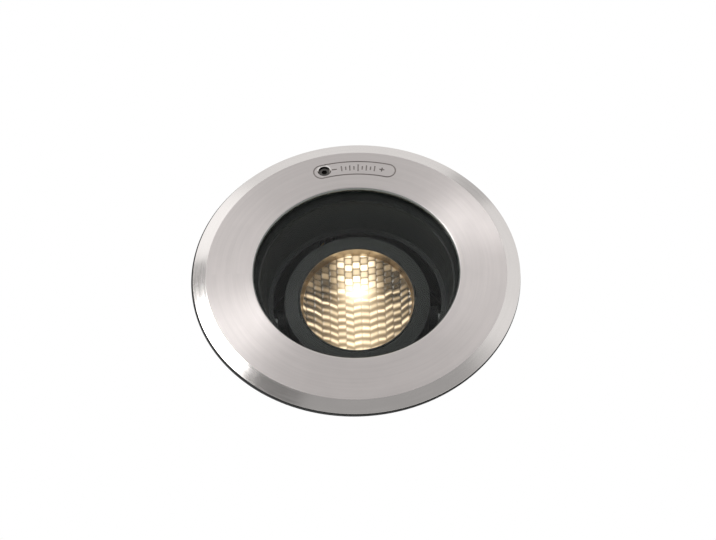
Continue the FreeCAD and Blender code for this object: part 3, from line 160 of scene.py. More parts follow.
def make_turned_group():
    """Fine lines round an upright axis, as brushing or turning leaves them."""
    tree, given, result = new_group("Turned lines", [
        ("Colour", COLOUR, (0.6, 0.6, 0.6, 1)), ("Centre", VECTOR, (0, 0, 0)),
        ("Lines per metre", FLOAT, 4000.0), ("Line depth", FLOAT, 0.000004),
        ("Tone spread", FLOAT, 0.06), ("Roughness", FLOAT, 0.3)],
        [("Colour", COLOUR), ("Roughness", FLOAT), ("Normal", VECTOR)])
    place = put(tree, "ShaderNodeTexCoord").outputs["Object"]
    moved = put(tree, "ShaderNodeVectorMath", {0: place, 1: given.outputs["Centre"]},
                operation="SUBTRACT").outputs[0]
    parts = put(tree, "ShaderNodeSeparateXYZ", {0: moved})
    squares = sums(tree, "MULTIPLY", parts.outputs["X"], parts.outputs["X"])
    squares = sums(tree, "MULTIPLY_ADD", parts.outputs["Y"], parts.outputs["Y"], squares)
    out = sums(tree, "SQRT", squares)
    turn = sums(tree, "ARCTAN2", parts.outputs["Y"], parts.outputs["X"])
    across = sums(tree, "MULTIPLY", sums(tree, "ADD", out, parts.outputs["Z"]),
                  given.outputs["Lines per metre"])
    unrolled = put(tree, "ShaderNodeCombineXYZ",
                   {"X": across, "Y": sums(tree, "MULTIPLY", turn, 2.2),
                    "Z": 0.0}).outputs[0]
    lines = noise(tree, unrolled, 1.0, 3.0, 0.65)
    long_lines = put(tree, "ShaderNodeVectorMath", {0: unrolled, 1: (0.17, 0.5, 1.0)},
                     operation="MULTIPLY").outputs[0]
    bands = noise(tree, long_lines, 1.0, 2.0)
    smudges = noise(tree, place, 38.0, 3.0, 0.6)
    tone = sums(tree, "ADD", spread(tree, lines, 0.3, 0.7, -0.5, 0.5),
                spread(tree, bands, 0.3, 0.7, -0.5, 0.5))
    tone = sums(tree, "ADD", tone, spread(tree, smudges, 0.35, 0.65, -0.5, 0.5))
    tone = sums(tree, "MULTIPLY_ADD", tone, given.outputs["Tone spread"], 1.0)
    tree.links.new(tint(tree, 1.0, given.outputs["Colour"], tone, "MULTIPLY"),
                   result.inputs["Colour"])
    rough = sums(tree, "ADD", given.outputs["Roughness"],
                 spread(tree, lines, 0.3, 0.7, -0.04, 0.04))
    rough = sums(tree, "ADD", rough, spread(tree, smudges, 0.35, 0.65, -0.02, 0.03))
    tree.links.new(rough, result.inputs["Roughness"])
    relief = put(tree, "ShaderNodeBump", {"Strength": 1.0, "Height": lines,
                                          "Distance": given.outputs["Line depth"]})
    tree.links.new(relief.outputs["Normal"], result.inputs["Normal"])
    return tree


USED = make_surface_group()
TURNED = make_turned_group()


# ---------------------------------------------------------------- materials

def shaded(name):
    """A new material with only a Principled shader and its output."""
    made = bpy.data.materials.new(name)
    made.use_nodes = True
    tree = made.node_tree
    tree.nodes.clear()
    shader = tree.nodes.new("ShaderNodeBsdfPrincipled")
    end = tree.nodes.new("ShaderNodeOutputMaterial")
    tree.links.new(shader.outputs["BSDF"], end.inputs["Surface"])
    return made, tree, shader, end


def opaque(colour):
    return (*colour, 1.0)


def used_finish(name, colour, roughness, metallic=0.0, tone=0.1, grain=2000.0, depth=0.02,
                edge=(0.5, 0.5, 0.5), wear=0.15, dust=0.08, specular=0.5):
    """A moulded, cast or painted finish. Grain is per metre and its depth in millimetres."""
    made, tree, shader, _ = shaded(name)
    effect = put(tree, "ShaderNodeGroup", None, node_tree=USED)
    for label, value in (("Colour", opaque(colour)), ("Tone spread", tone),
                         ("Roughness", roughness), ("Grain per metre", grain),
                         ("Grain depth", depth * MM), ("Edge colour", opaque(edge)),
                         ("Edge wear", wear), ("Dust", dust)):
        effect.inputs[label].default_value = value
    tree.links.new(effect.outputs["Colour"], shader.inputs["Base Color"])
    tree.links.new(effect.outputs["Roughness"], shader.inputs["Roughness"])
    tree.links.new(effect.outputs["Normal"], shader.inputs["Normal"])
    shader.inputs["Metallic"].default_value = metallic
    shader.inputs["Specular IOR Level"].default_value = specular
    return made


def turned_finish(name, colour, roughness, centre=(0, 0), lines=4000.0, depth=0.004, tone=0.06,
                  anisotropic=0.0):
    """A turned or brushed metal, its lines round an upright axis at centre, in millimetres."""
    made, tree, shader, _ = shaded(name)
    effect = put(tree, "ShaderNodeGroup", None, node_tree=TURNED)
    for label, value in (("Colour", opaque(colour)), ("Lines per metre", lines),
                         ("Centre", (centre[0] * MM, centre[1] * MM, 0)),
                         ("Line depth", depth * MM), ("Tone spread", tone),
                         ("Roughness", roughness)):
        effect.inputs[label].default_value = value
    tree.links.new(effect.outputs["Colour"], shader.inputs["Base Color"])
    tree.links.new(effect.outputs["Roughness"], shader.inputs["Roughness"])
    tree.links.new(effect.outputs["Normal"], shader.inputs["Normal"])
    shader.inputs["Metallic"].default_value = 1.0
    if anisotropic:
        shader.inputs["Anisotropic"].default_value = anisotropic
        shader.inputs["Anisotropic Rotation"].default_value = 0.25
        way = put(tree, "ShaderNodeTangent", direction_type="RADIAL", axis="Z")
        tree.links.new(way.outputs[0], shader.inputs["Tangent"])
    return made


def light_passes(tree, shader, end):
    """Lets light and soft bounces through a clear piece, so that what is behind it is lit."""
    path = tree.nodes.new("ShaderNodeLightPath")
    free = sums(tree, "MAXIMUM", path.outputs["Is Shadow Ray"], path.outputs["Is Diffuse Ray"])
    clear = put(tree, "ShaderNodeBsdfTransparent", {"Color": (0.93, 0.96, 0.94, 1)})
    both = put(tree, "ShaderNodeMixShader", {0: free, 1: shader.outputs[0],
                                             2: clear.outputs[0]})
    tree.links.new(both.outputs[0], end.inputs["Surface"])


def window_finish(name, colour, mirror, smudge=0.012):
    """Clear glass; mirror scales how much it reflects when seen face on."""
    made, tree, shader, end = shaded(name)
    place = put(tree, "ShaderNodeTexCoord").outputs["Object"]
    marks = spread(tree, noise(tree, place, 60.0, 4.0, 0.6), 0.45, 0.75, 0.0, smudge)
    tree.links.new(marks, shader.inputs["Roughness"])
    shader.inputs["Base Color"].default_value = opaque(colour)
    shader.inputs["Transmission Weight"].default_value = 1.0
    shader.inputs["IOR"].default_value = 1.5
    shader.inputs["Specular Tint"].default_value = (mirror, mirror, mirror, 1)
    light_passes(tree, shader, end)
    return made


PAINTED_GLOW_AMBER = (1.0, 0.66, 0.34, 1)
PAINTED_SHADE_SHARE = 0.08          # how much of its base colour a dark spot of the lens keeps, as painted shade


def painted_glow_finish(name, base, glow, strength, attribute):
    """A piece with painted light: its emission glow and its base colour, darkened as painted shade
    where the glow is low, follow the piece's own attribute, amber where it is low.
    """
    made, tree, shader, _ = shaded(name)
    read = put(tree, "ShaderNodeAttribute", attribute_name=attribute,
               attribute_type="GEOMETRY").outputs["Fac"]
    hue = tint(tree, read, PAINTED_GLOW_AMBER, opaque(glow))
    tree.links.new(tint(tree, 1.0, hue, read, "MULTIPLY"), shader.inputs["Emission Color"])
    shader.inputs["Emission Strength"].default_value = strength
    painted_shade_base = opaque([value * PAINTED_SHADE_SHARE for value in base])
    tree.links.new(tint(tree, read, painted_shade_base, opaque(base)), shader.inputs["Base Color"])
    shader.inputs["Roughness"].default_value = 0.12
    return made


def phosphor_finish():
    made, tree, shader, _ = shaded("Lit phosphor")
    place = put(tree, "ShaderNodeTexCoord").outputs["Object"]
    speckle = spread(tree, noise(tree, place, 1800.0, 2.0), 0.3, 0.7)
    tree.links.new(tint(tree, speckle, (1.0, 0.72, 0.40, 1), (1.0, 0.82, 0.55, 1)),
                   shader.inputs["Emission Color"])
    tree.links.new(tint(tree, speckle, (0.85, 0.66, 0.25, 1), (0.95, 0.80, 0.40, 1)),
                   shader.inputs["Base Color"])
    shader.inputs["Emission Strength"].default_value = 2.0
    shader.inputs["Roughness"].default_value = 0.6
    return made


KEY = (-16.857, 72.157)     # the key hole's place on the ring
STEEL = (0.640, 0.597, 0.583)

FINISH = {
    "stainless_trim": turned_finish("Circular brushed stainless", STEEL, 0.36, lines=2600.0,
                                    depth=0.0022, tone=0.05, anisotropic=0.9),
    "trim_bevel": turned_finish("Turned stainless bevel", (0.66, 0.630, 0.612), 0.12,
                                lines=3200.0, depth=0.0006, tone=0.025),
    # Painted shade: a darker copy of the stainless for the opening's lip.
    "trim_lip_painted_shade": turned_finish("Opening lip, painted shade", (0.20, 0.21, 0.20), 0.28, lines=3200.0,
                              depth=0.0006, tone=0.03),
    "etched_steel": used_finish("Etched marking", (0.24, 0.215, 0.205), 0.5, 0.7, tone=0.2,
                                grain=5000, depth=0.01, wear=0.0, dust=0.1),
    "steel_fixings": turned_finish("Turned stainless fixing", (0.60, 0.60, 0.60), 0.22, KEY,
                                   lines=5000.0, depth=0.002, tone=0.05),
    "spring_steel": used_finish("Rolled spring strip", (0.58, 0.57, 0.56), 0.28, 1.0, tone=0.08,
                                grain=4000, depth=0.004, edge=(0.7, 0.7, 0.7)),
    # Painted shade: the frame is coloured near black so that it reads as the shaded inside of the
    # well.
    "frame_steel": used_finish("Black dipped pressing, painted shade", (0.026, 0.026, 0.027), 0.40, tone=0.06,
                               grain=1800, depth=0.01, edge=(0.35, 0.34, 0.33), wear=0.35,
                               dust=0.015),
    # Painted shade: blackened steel darkens the spindle and its bush, which sit in the key hole.
    "black_steel": turned_finish("Blackened steel, painted shade", (0.10, 0.095, 0.09), 0.32, KEY,
                                 lines=5000.0, depth=0.002, tone=0.05),
    "sleeve_plastic": used_finish("Black moulded sleeve", (0.032, 0.032, 0.034), 0.5, tone=0.07,
                                  grain=2600, depth=0.03, edge=(0.15, 0.15, 0.15), dust=0.03),
    "plug_plastic": used_finish("Grey moulded plug", (0.115, 0.115, 0.118), 0.5, tone=0.12,
                                grain=2400, depth=0.03, edge=(0.3, 0.3, 0.3)),
    "gland_plastic": used_finish("Black nylon", (0.038, 0.038, 0.042), 0.38, tone=0.12,
                                 grain=3000, depth=0.012, edge=(0.14, 0.14, 0.14)),
    "vent_plastic": used_finish("Dark grey vent plastic", (0.15, 0.15, 0.16), 0.5, tone=0.1,
                                grain=2800, depth=0.02, edge=(0.3, 0.3, 0.3)),
    "gasket_rubber": used_finish("Black silicone gasket", (0.024, 0.025, 0.025), 0.62, tone=0.12,
                                 grain=3500, depth=0.02, edge=(0.08, 0.08, 0.08), dust=0.015,
                                 specular=0.35),
    "seal_rubber": used_finish("Moulded seal rubber", (0.045, 0.045, 0.045), 0.66, tone=0.12,
                               grain=3000, depth=0.02, edge=(0.12, 0.12, 0.12)),
    "window_glass": window_finish("Clear tempered glass", (0.965, 0.985, 0.972), 0.16),
    "glass_edge": window_finish("Ground glass edge", (0.45, 0.66, 0.58), 0.6, smudge=0.35),
    "black_coat": used_finish("Black powder coat", (0.026, 0.026, 0.027), 0.45, tone=0.05,
                              grain=1900, depth=0.02, edge=(0.20, 0.20, 0.20), wear=0.25,
                              dust=0.012, specular=0.4),
    "liner_coat": used_finish("Black anti-glare coat", (0.015, 0.016, 0.015), 0.42, tone=0.10,
                              grain=3200, depth=0.004, edge=(0.07, 0.07, 0.07), wear=0.3,
                              dust=0.006, specular=0.4),
    "glare_coat": used_finish("Dark satin coat", (0.020, 0.021, 0.020), 0.45, tone=0.06,
                              grain=3000, depth=0.005, edge=(0.12, 0.12, 0.11), wear=0.2,
                              dust=0.008, specular=0.35),
    "reflector_metal": used_finish("Bright metallised reflector", (0.93, 0.885, 0.80), 0.13, 1.0,
                                   tone=0.03, grain=2500, depth=0.002, wear=0.0, dust=0.0),
    "bowl_lip": used_finish("Dulled reflector lip", (0.50, 0.42, 0.32), 0.32, 1.0, tone=0.08,
                            grain=2500, depth=0.004, wear=0.0, dust=0.02),
    # The lens glows with painted light: its emission and darker base colour stand in for the
    # lamp's light and its reflections in the facets.
    "lens_resin": painted_glow_finish("Pillowed lens, painted glow", (0.26, 0.19, 0.12), (1.0, 0.91, 0.70), 1.9,
                             "glow"),
    "holder_plastic": used_finish("White holder plastic", (0.80, 0.79, 0.76), 0.34, tone=0.04,
                                  grain=2600, depth=0.008, edge=(0.9, 0.9, 0.88)),
    "board_metal": used_finish("White solder mask", (0.82, 0.81, 0.77), 0.4, 0.0, tone=0.04,
                               grain=1800, depth=0.006, edge=(0.7, 0.7, 0.7)),
    "pad_rubber": used_finish("Grey gap pad", (0.33, 0.34, 0.36), 0.75, tone=0.08, grain=2600,
                              depth=0.03, edge=(0.4, 0.4, 0.4)),
    "sink_metal": used_finish("Blasted die-cast aluminium", (0.60, 0.61, 0.62), 0.42, 1.0,
                              tone=0.08, grain=2800, depth=0.02, edge=(0.75, 0.75, 0.75)),
    "bronze": used_finish("Sintered bronze", (0.48, 0.34, 0.18), 0.46, 1.0, tone=0.14,
                          grain=5200, depth=0.02, edge=(0.6, 0.45, 0.25)),
    "brass": turned_finish("Turned brass", (0.74, 0.58, 0.30), 0.24, KEY, lines=5000.0,
                           depth=0.002, tone=0.06),
    "driver_plastic": used_finish("White driver case", (0.74, 0.74, 0.72), 0.45, tone=0.05,
                                  grain=1800, depth=0.02, edge=(0.85, 0.85, 0.85)),
    "terminal_plastic": used_finish("Cream terminal block", (0.70, 0.67, 0.60), 0.35, tone=0.05,
                                    grain=2200, depth=0.01, edge=(0.8, 0.8, 0.78)),
    "lead_sheath": used_finish("Black silicone sheath", (0.035, 0.035, 0.036), 0.5, tone=0.1,
                               grain=3600, depth=0.015, edge=(0.1, 0.1, 0.1)),
    "oring_rubber": used_finish("Black nitrile", (0.028, 0.028, 0.028), 0.45, tone=0.08,
                                grain=3600, depth=0.008, edge=(0.1, 0.1, 0.1)),
    "phosphor": phosphor_finish(),
}


# ---------------------------------------------------------------- shape helpers

ROUNDS = 2                  # segments of a softened edge


def lathe(outline, steps=STEPS, soften=0.0):
    """A closed outline of (radius, height) turned about Z, with its sharp rings rounded."""
    bm = bmesh.new()
    corners = [bm.verts.new((radius, 0, height)) for radius, height in outline]
    edges = [bm.edges.new(pair) for pair in zip(corners, corners[1:] + corners[:1])
             if pair[0].co.x > 0 or pair[1].co.x > 0]
    bmesh.ops.spin(bm, geom=corners + edges, cent=(0, 0, 0), axis=(0, 0, 1),
                   angle=2 * math.pi, steps=steps, use_merge=True)
    bmesh.ops.remove_doubles(bm, verts=bm.verts, dist=1e-4)
    bmesh.ops.recalc_face_normals(bm, faces=bm.faces)
    if soften:
        sharp = [edge for edge in bm.edges
                 if edge.is_manifold and edge.calc_face_angle(0.0) > math.radians(15)]
        bmesh.ops.bevel(bm, geom=sharp, offset=soften, offset_type="OFFSET", segments=ROUNDS,
                        profile=0.5, affect="EDGES", clamp_overlap=True, material=-1)
    return bm


def shift(bm, x=0.0, y=0.0, z=0.0):
    bmesh.ops.translate(bm, vec=(x, y, z), verts=bm.verts)
    return bm


def shade_evenly(made, sharp):
    """Smooth faces, hard edges above this angle, and normals that follow the large faces."""
    made.data.polygons.foreach_set("use_smooth", [True] * len(made.data.polygons))
    made.data.set_sharp_from_angle(angle=math.radians(sharp))
    even = made.modifiers.new("Even shading", "WEIGHTED_NORMAL")
    even.keep_sharp = True
    return made


def finished(name, bm, slots, sharp=30.0, in_head=False):
    """An object from a bmesh drawn in millimetres, with these finishes in order."""
    bmesh.ops.scale(bm, vec=(MM, MM, MM), verts=bm.verts)
    if in_head:
        bmesh.ops.transform(bm, matrix=HEAD, verts=bm.verts)
    mesh = bpy.data.meshes.new(name)
    bm.to_mesh(mesh)
    bm.free()
    for slot in slots:
        mesh.materials.append(FINISH[slot])
    made = bpy.data.objects.new(name, mesh)
    bpy.context.scene.collection.objects.link(made)
    return shade_evenly(made, sharp)


def stand_in(made, body, slot, *nodes):
    """Sets a new piece on its body, in place of the plain solids."""
    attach(made, body)
    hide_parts(*nodes)
    return made


def carve(made, cutter, sharp=30.0):
    """Cuts one object out of another; the cut faces keep the cutter's finish."""
    made.modifiers.clear()
    cutter.modifiers.clear()
    change = made.modifiers.new("Cut", "BOOLEAN")
    change.operation = "DIFFERENCE"
    change.solver = "EXACT"
    change.material_mode = "TRANSFER"
    change.object = cutter
    ready = made.evaluated_get(bpy.context.evaluated_depsgraph_get())
    mesh = bpy.data.meshes.new_from_object(ready)
    made.modifiers.clear()
    old = made.data
    made.data = mesh
    mesh.name = made.name
    bpy.data.meshes.remove(old)
    bpy.data.objects.remove(cutter)
    return shade_evenly(made, sharp)


# ---------------------------------------------------------------- trim ring

TRIM_LOW, TRIM_EDGE, TRIM_TOP = 2.2, 2.9, 5.2
TRIM_OUT, BEVEL_IN, OPENING = 92.5, 84.9, 57.9
KEY_HOLE, KEY_CHAMFER = 3.5, 0.6
LEGEND_IN, LEGEND_OUT, LEGEND_START, LEGEND_END = 68.3, 78.5, 74.0, 104.5
LEGEND_LINE, LEGEND_DEPTH = 0.8, 0.25
MARK_WIDE, MARK_HIGH = 0.75, 1.2            # cutters of the marks, across and upright
TICK_LENGTHS = (2.6, 3.8, 5.0)              # odd, even and middle ticks
TICK_MIDDLE, TICK_STEP, TICKS_EACH_SIDE = 87.6, 1.9, 4
MINUS_ANGLE, PLUS_ANGLE, SIGN_LENGTH = 98.6, 76.6, 3.0
STUB_LENGTH, STUB_PLACE = 1.1, 0.95         # the plus sign's upright, one stub each side
LIP = 1.6                   # rounding of the opening's upper edge
LIP_PAINTED_SHADE = 0.9             # how far out the lip's painted shade reaches, a darker copy of the steel


def legend_groove():
    """A square groove that follows the rounded loop: two arcs round the ring, two end arcs."""
    bm = bmesh.new()
    outer, inner = LEGEND_OUT, LEGEND_OUT - LEGEND_LINE
    low, high = TRIM_TOP - LEGEND_DEPTH, TRIM_TOP + 1
    turn = Matrix.Rotation(math.radians(LEGEND_START), 3, "Z")
    corners = [bm.verts.new(turn @ Vector((radius, 0, height)))
               for radius, height in ((inner, low), (outer, low), (outer, high), (inner, high))]
    section = corners + [bm.edges.new(pair) for pair in zip(corners, corners[1:] + corners[:1])]
    middle = (LEGEND_IN + LEGEND_OUT) / 2
    swing = math.radians(LEGEND_END - LEGEND_START)
    ends = [Matrix.Rotation(math.radians(angle), 3, "Z") @ Vector((middle, 0, 0))
            for angle in (LEGEND_END, LEGEND_START)]
    for centre, angle, steps in (((0, 0, 0), swing, 48), (ends[0], math.pi, 24),
                                 ((0, 0, 0), -swing, 48), (ends[1], math.pi, 24)):
        made = bmesh.ops.spin(bm, geom=section, cent=centre, axis=(0, 0, 1), angle=angle,
                              steps=steps)
        section = made["geom_last"]
    bmesh.ops.remove_doubles(bm, verts=bm.verts, dist=0.01)
    bmesh.ops.recalc_face_normals(bm, faces=bm.faces)
    return bm


def block(bm, outward, along, radius, angle):
    """A box of these sizes, its middle at radius and angle on the ring, across the top face."""
    place = (Matrix.Rotation(math.radians(angle), 4, "Z")
             @ Matrix.Translation((radius, 0, TRIM_TOP - LEGEND_DEPTH + MARK_HIGH / 2))
             @ Matrix.Diagonal((outward, along, MARK_HIGH, 1)))
    bmesh.ops.create_cube(bm, size=1.0, matrix=place)


def legend_marks():
    """A plain scale inside the loop: a minus, a row of ticks, the middle one longest, a plus."""
    bm = bmesh.new()
    odd, even, longest = TICK_LENGTHS
    middle = (LEGEND_IN + LEGEND_OUT) / 2
    for index in range(-TICKS_EACH_SIDE, TICKS_EACH_SIDE + 1):
        length = longest if index == 0 else (even if index % 2 == 0 else odd)
        block(bm, length, MARK_WIDE, middle, TICK_MIDDLE + TICK_STEP * index)
    for angle in (MINUS_ANGLE, PLUS_ANGLE):
        block(bm, MARK_WIDE, SIGN_LENGTH, middle, angle)
    for side in (-STUB_PLACE, STUB_PLACE):
        block(bm, STUB_LENGTH, MARK_WIDE, middle + side, PLUS_ANGLE)
    return bm


def make_trim():
    """The stainless ring, with its key hole, bevel, rounded lip and etched scale."""
    lip = [(OPENING + LIP * (1 - math.sin(turn)), TRIM_TOP - LIP * (1 - math.cos(turn)))
           for turn in (math.radians(10 * index) for index in range(10))]
    bm = lathe([(OPENING, TRIM_LOW), (TRIM_OUT, TRIM_LOW), (TRIM_OUT, TRIM_EDGE),
                (BEVEL_IN, TRIM_TOP)] + lip, soften=0.14)
    for face in bm.faces:
        middle = face.calc_center_median()
        radius = math.hypot(middle.x, middle.y)
        if radius > BEVEL_IN + 0.05 or face.normal.z < 0.5:
            face.material_index = 1
        # Faces of the lip take a darker copy of the steel: painted shade.
        if radius < OPENING + LIP_PAINTED_SHADE:
            face.material_index = 2
    trim = finished("trim_face", bm, ["stainless_trim", "trim_bevel", "trim_lip_painted_shade"])
    hole = lathe([(0, 1), (KEY_HOLE, 1), (KEY_HOLE, TRIM_TOP - KEY_CHAMFER),
                  (KEY_HOLE + KEY_CHAMFER + 1, TRIM_TOP + 1), (0, TRIM_TOP + 1)], steps=64)
    carve(trim, finished("hole_cutter", shift(hole, *KEY), ["trim_bevel"]))
    carve(trim, finished("groove_cutter", legend_groove(), ["etched_steel"]))
    carve(trim, finished("mark_cutter", legend_marks(), ["etched_steel"]))
    return stand_in(trim, "luminaire", "stainless_trim", "trim_ring")


# ---------------------------------------------------------------- glass, gaskets and liner

SEAT_IN, SEAT_OUT, SEAT_LOW = 87.0, 93.0, 1.5
SQUEEZE = (-0.45, -0.40, 0.0)     # the seat gasket's soft edge bulges out more on this side
GLASS_RADIUS, GLASS_LOW, GLASS_TOP, GLASS_CHAMFER = 62.0, -6.3, 1.7, 0.8
TOP_SEAL_IN, LOW_SEAL_IN, LOW_SEAL_FOOT = 58.4, 55.6, -7.3
LINER_OUTLINE = [(55.0, -7.3), (62.0, -7.3), (62.0, -8.3), (56.6, -8.3), (53.2, -30.3),
                 (48.7, -30.3), (48.7, -28.8), (51.6, -28.8)]


def washer(inner, outer, low, high, soften):
    """A flat ring with softened edges."""
    return lathe([(inner, low), (outer, low), (outer, high), (inner, high)], soften=soften)


def make_rings():
    """The three rubber rings and the black liner of the well."""
    seat = washer(SEAT_IN, SEAT_OUT, SEAT_LOW, TRIM_LOW, 0.18)
    for vert in seat.verts:
        if math.hypot(vert.co.x, vert.co.y) > SEAT_OUT - 1:
            vert.co += Vector(SQUEEZE)
    stand_in(finished("seat_seal", seat, ["gasket_rubber"]), "seat_ring", "gasket_rubber",
             "seat_gasket")
    top = washer(TOP_SEAL_IN, GLASS_RADIUS, GLASS_TOP, TRIM_LOW, 0.12)
    stand_in(finished("pane_seal_top", top, ["gasket_rubber"]), "luminaire", "gasket_rubber",
             "glass_gasket_top")
    low = washer(LOW_SEAL_IN, GLASS_RADIUS, LOW_SEAL_FOOT, GLASS_LOW, 0.2)
    stand_in(finished("pane_seal_low", low, ["gasket_rubber"]), "luminaire", "gasket_rubber",
             "glass_gasket_bottom")
    liner = lathe(LINER_OUTLINE, soften=0.25)
    stand_in(finished("well_wall", liner, ["liner_coat"]), "luminaire", "liner_coat",
             "well_liner")


def make_pane():
    """The glass, its ground edge in a finish of its own."""
    inner = GLASS_RADIUS - GLASS_CHAMFER
    bm = lathe([(0, GLASS_LOW), (inner, GLASS_LOW), (GLASS_RADIUS, GLASS_LOW + GLASS_CHAMFER),
                (GLASS_RADIUS, GLASS_TOP - GLASS_CHAMFER), (inner, GLASS_TOP), (0, GLASS_TOP)])
    for face in bm.faces:
        if abs(face.normal.z) < 0.9:
            face.material_index = 1
    pane = finished("window_pane", bm, ["window_glass", "glass_edge"], sharp=20.0)
    return stand_in(pane, "luminaire", "window_glass", "cover_glass")


# ---------------------------------------------------------------- lamp head

# The reflector's radii and heights in the head's own frame; CURVE is the radius of its wall's arc.
FOOT_RADIUS, THROAT_RADIUS, SEAT_RADIUS, RIM_RADIUS, WALL = 20.5, 30.4, 31.5, 32.8, 0.8
FOOT_HEIGHT, LEDGE, LENS_TOP, RIM_HEIGHT, CURVE = -5.4, 18.6, 22.0, 27.0, 90.0
COLUMNS, ROWS, PILLOW = 36, 5.0, 0.34       # facets round and up the bowl, and their height
FACETS_END = 0.975                          # the share of the wall that has facets
LENS_RADIUS, CELL, ROW_BEND, LENS_PILLOW = 31.4, 4.55, 43.0, 0.45
LENS_RINGS, LENS_STEPS = 76, 300
HOT_SPOT, HOT_WIDE, HOT_LONG = (0.5, 6.5), 9, 7
EDGE_PAINTED_GLOW = 0.2                             # painted glow of the lens's sides and underside
GLARE_OUTLINE = [(33.9, 26.8), (33.9, 25.6), (40.0, 24.0), (42.0, 24.0), (42.0, 25.4)]


def wall_arc(foot, throat, low, high, count):
    """Points up the reflector's wall, the centre of their arc, and its first and last angle."""
    begin, end = Vector((foot, low)), Vector((throat, high))
    chord = end - begin
    rise = math.sqrt(CURVE ** 2 - (chord.length / 2) ** 2)
    centre = (begin + end) / 2 + Vector((-chord.y, chord.x)).normalized() * rise
    first = math.atan2(*(begin - centre).yx)
    last = math.atan2(*(end - centre).yx)
    points = []
    for index in range(count + 1):
        angle = first + (last - first) * index / count
        points.append((centre.x + CURVE * math.cos(angle), centre.y + CURVE * math.sin(angle)))
    return points, centre, first, last


def pillow(across, along):
    """Height of one facet, 0 at its edges and 1 over most of its face."""
    return ((1 - abs(2 * (across % 1) - 1) ** 4) * (1 - abs(2 * (along % 1) - 1) ** 4))


def make_reflector():
    """The bowl with its staggered facets, a plain tan lip above the lens and a dark back."""
    inner, centre, first, last = wall_arc(FOOT_RADIUS, THROAT_RADIUS, FOOT_HEIGHT, LEDGE, 40)
    outer = wall_arc(FOOT_RADIUS + WALL, THROAT_RADIUS + WALL, FOOT_HEIGHT, LEDGE - WALL, 10)[0]
    upper = [(SEAT_RADIUS, LEDGE), (RIM_RADIUS, RIM_HEIGHT), (RIM_RADIUS + WALL, RIM_HEIGHT),
             (SEAT_RADIUS + WALL, LEDGE - WALL)]
    bm = lathe(inner + upper + outer[::-1], steps=COLUMNS * 7)
    for vert in bm.verts:
        radius = math.hypot(vert.co.x, vert.co.y)
        away = Vector((radius, vert.co.z)) - centre
        share = (math.atan2(away.y, away.x) - first) / (last - first)
        if abs(away.length - CURVE) < 0.02 and 0.001 < share < FACETS_END:
            across = COLUMNS * math.atan2(vert.co.y, vert.co.x) / (2 * math.pi) + 0.5
            along = ROWS * share / FACETS_END + 0.5 * (math.floor(across) % 2)
            step = -away.normalized() * PILLOW * pillow(across, along)
            vert.co += Vector((vert.co.x / radius * step.x, vert.co.y / radius * step.x,
                               step.y))
    for face in bm.faces:
        middle = face.calc_center_median()
        radius = math.hypot(middle.x, middle.y)
        if face.normal.z > 0.9 or face.normal.dot(Vector((middle.x, middle.y, 0))) > 0:
            face.material_index = 2
        elif middle.z > LEDGE and radius < RIM_RADIUS:
            face.material_index = 1
    bowl = finished("faceted_bowl", bm, ["reflector_metal", "bowl_lip", "glare_coat"],
                    sharp=24.0, in_head=True)
    return stand_in(bowl, "lamp_head", "reflector_metal", "reflector")


def ease(value, low, high):
    """0 below low, 1 above high, smooth between."""
    share = min(1.0, max(0.0, (value - low) / (high - low)))
    return share * share * (3 - 2 * share)


def lens_cell(x, y):
    """Which cell a point lies in, and where in it: across and along, both 0 to 1.

    Rows bend to the front at the sides. Far columns are staggered like bricks, near ones zigzag.
    """
    bend = (1 - 0.5 * ease(y, 0, 30)) / (2 * ROW_BEND)
    column = x / CELL + 0.5
    far = ease(y, 4, 14)
    uneven = 0.10 * math.sin(4.1 * math.floor(column))
    zigzag = 0.20 * abs(column % 2 - 1) + 0.10 * (math.floor(column) % 2) + uneven
    row = (y - bend * x * x) / CELL + far * 0.42 * (math.floor(column) % 2) + (
        1 - far) * zigzag
    return math.floor(column), math.floor(row), column % 1, row % 1


def painted_lens_glow(x, y):
    """Painted glow of the lens here, for the lamp's light and its reflections in the facets: a hot
    middle, pale far cells, wavy stripes in front.
    """
    column, row, across, along = lens_cell(x, y)
    face = (1 - abs(2 * across - 1) ** 5) * (1 - abs(2 * along - 1) ** 5)
    stripe = (0.5 + 0.5 * math.cos(2 * math.pi * (along - 0.45))) ** 1.2
    stripe *= 1 - 0.7 * abs(2 * across - 1) ** 8
    own = 0.5 + 0.5 * math.sin(12.9898 * column + 78.233 * row)
    other = 0.5 + 0.5 * math.sin(39.346 * column + 11.135 * row)
    far = ease(y, 3, 12)
    middle = math.exp(-((x - HOT_SPOT[0]) / HOT_WIDE) ** 2
                      - ((y - HOT_SPOT[1]) / HOT_LONG) ** 2)
    pale = math.exp(-(x / 11.5) ** 4)
    fan = math.exp(-(x / 20.0) ** 2) * ease(-y, -8, 6)
    far_value = face * (0.03 + 0.22 * own * other + pale * (0.45 + 0.55 * own))
    lit = stripe ** (1 + 2.5 * (1 - fan) * other)
    near_value = lit * (0.10 + 0.60 * own * (1 - fan) + 0.75 * fan * (0.7 + 0.3 * other))
    near_value += 0.22 * fan * (1 - lit)
    value = far * far_value + (1 - far) * near_value
    return min(1.2, value * (1 - 0.6 * middle) + 0.85 * middle)


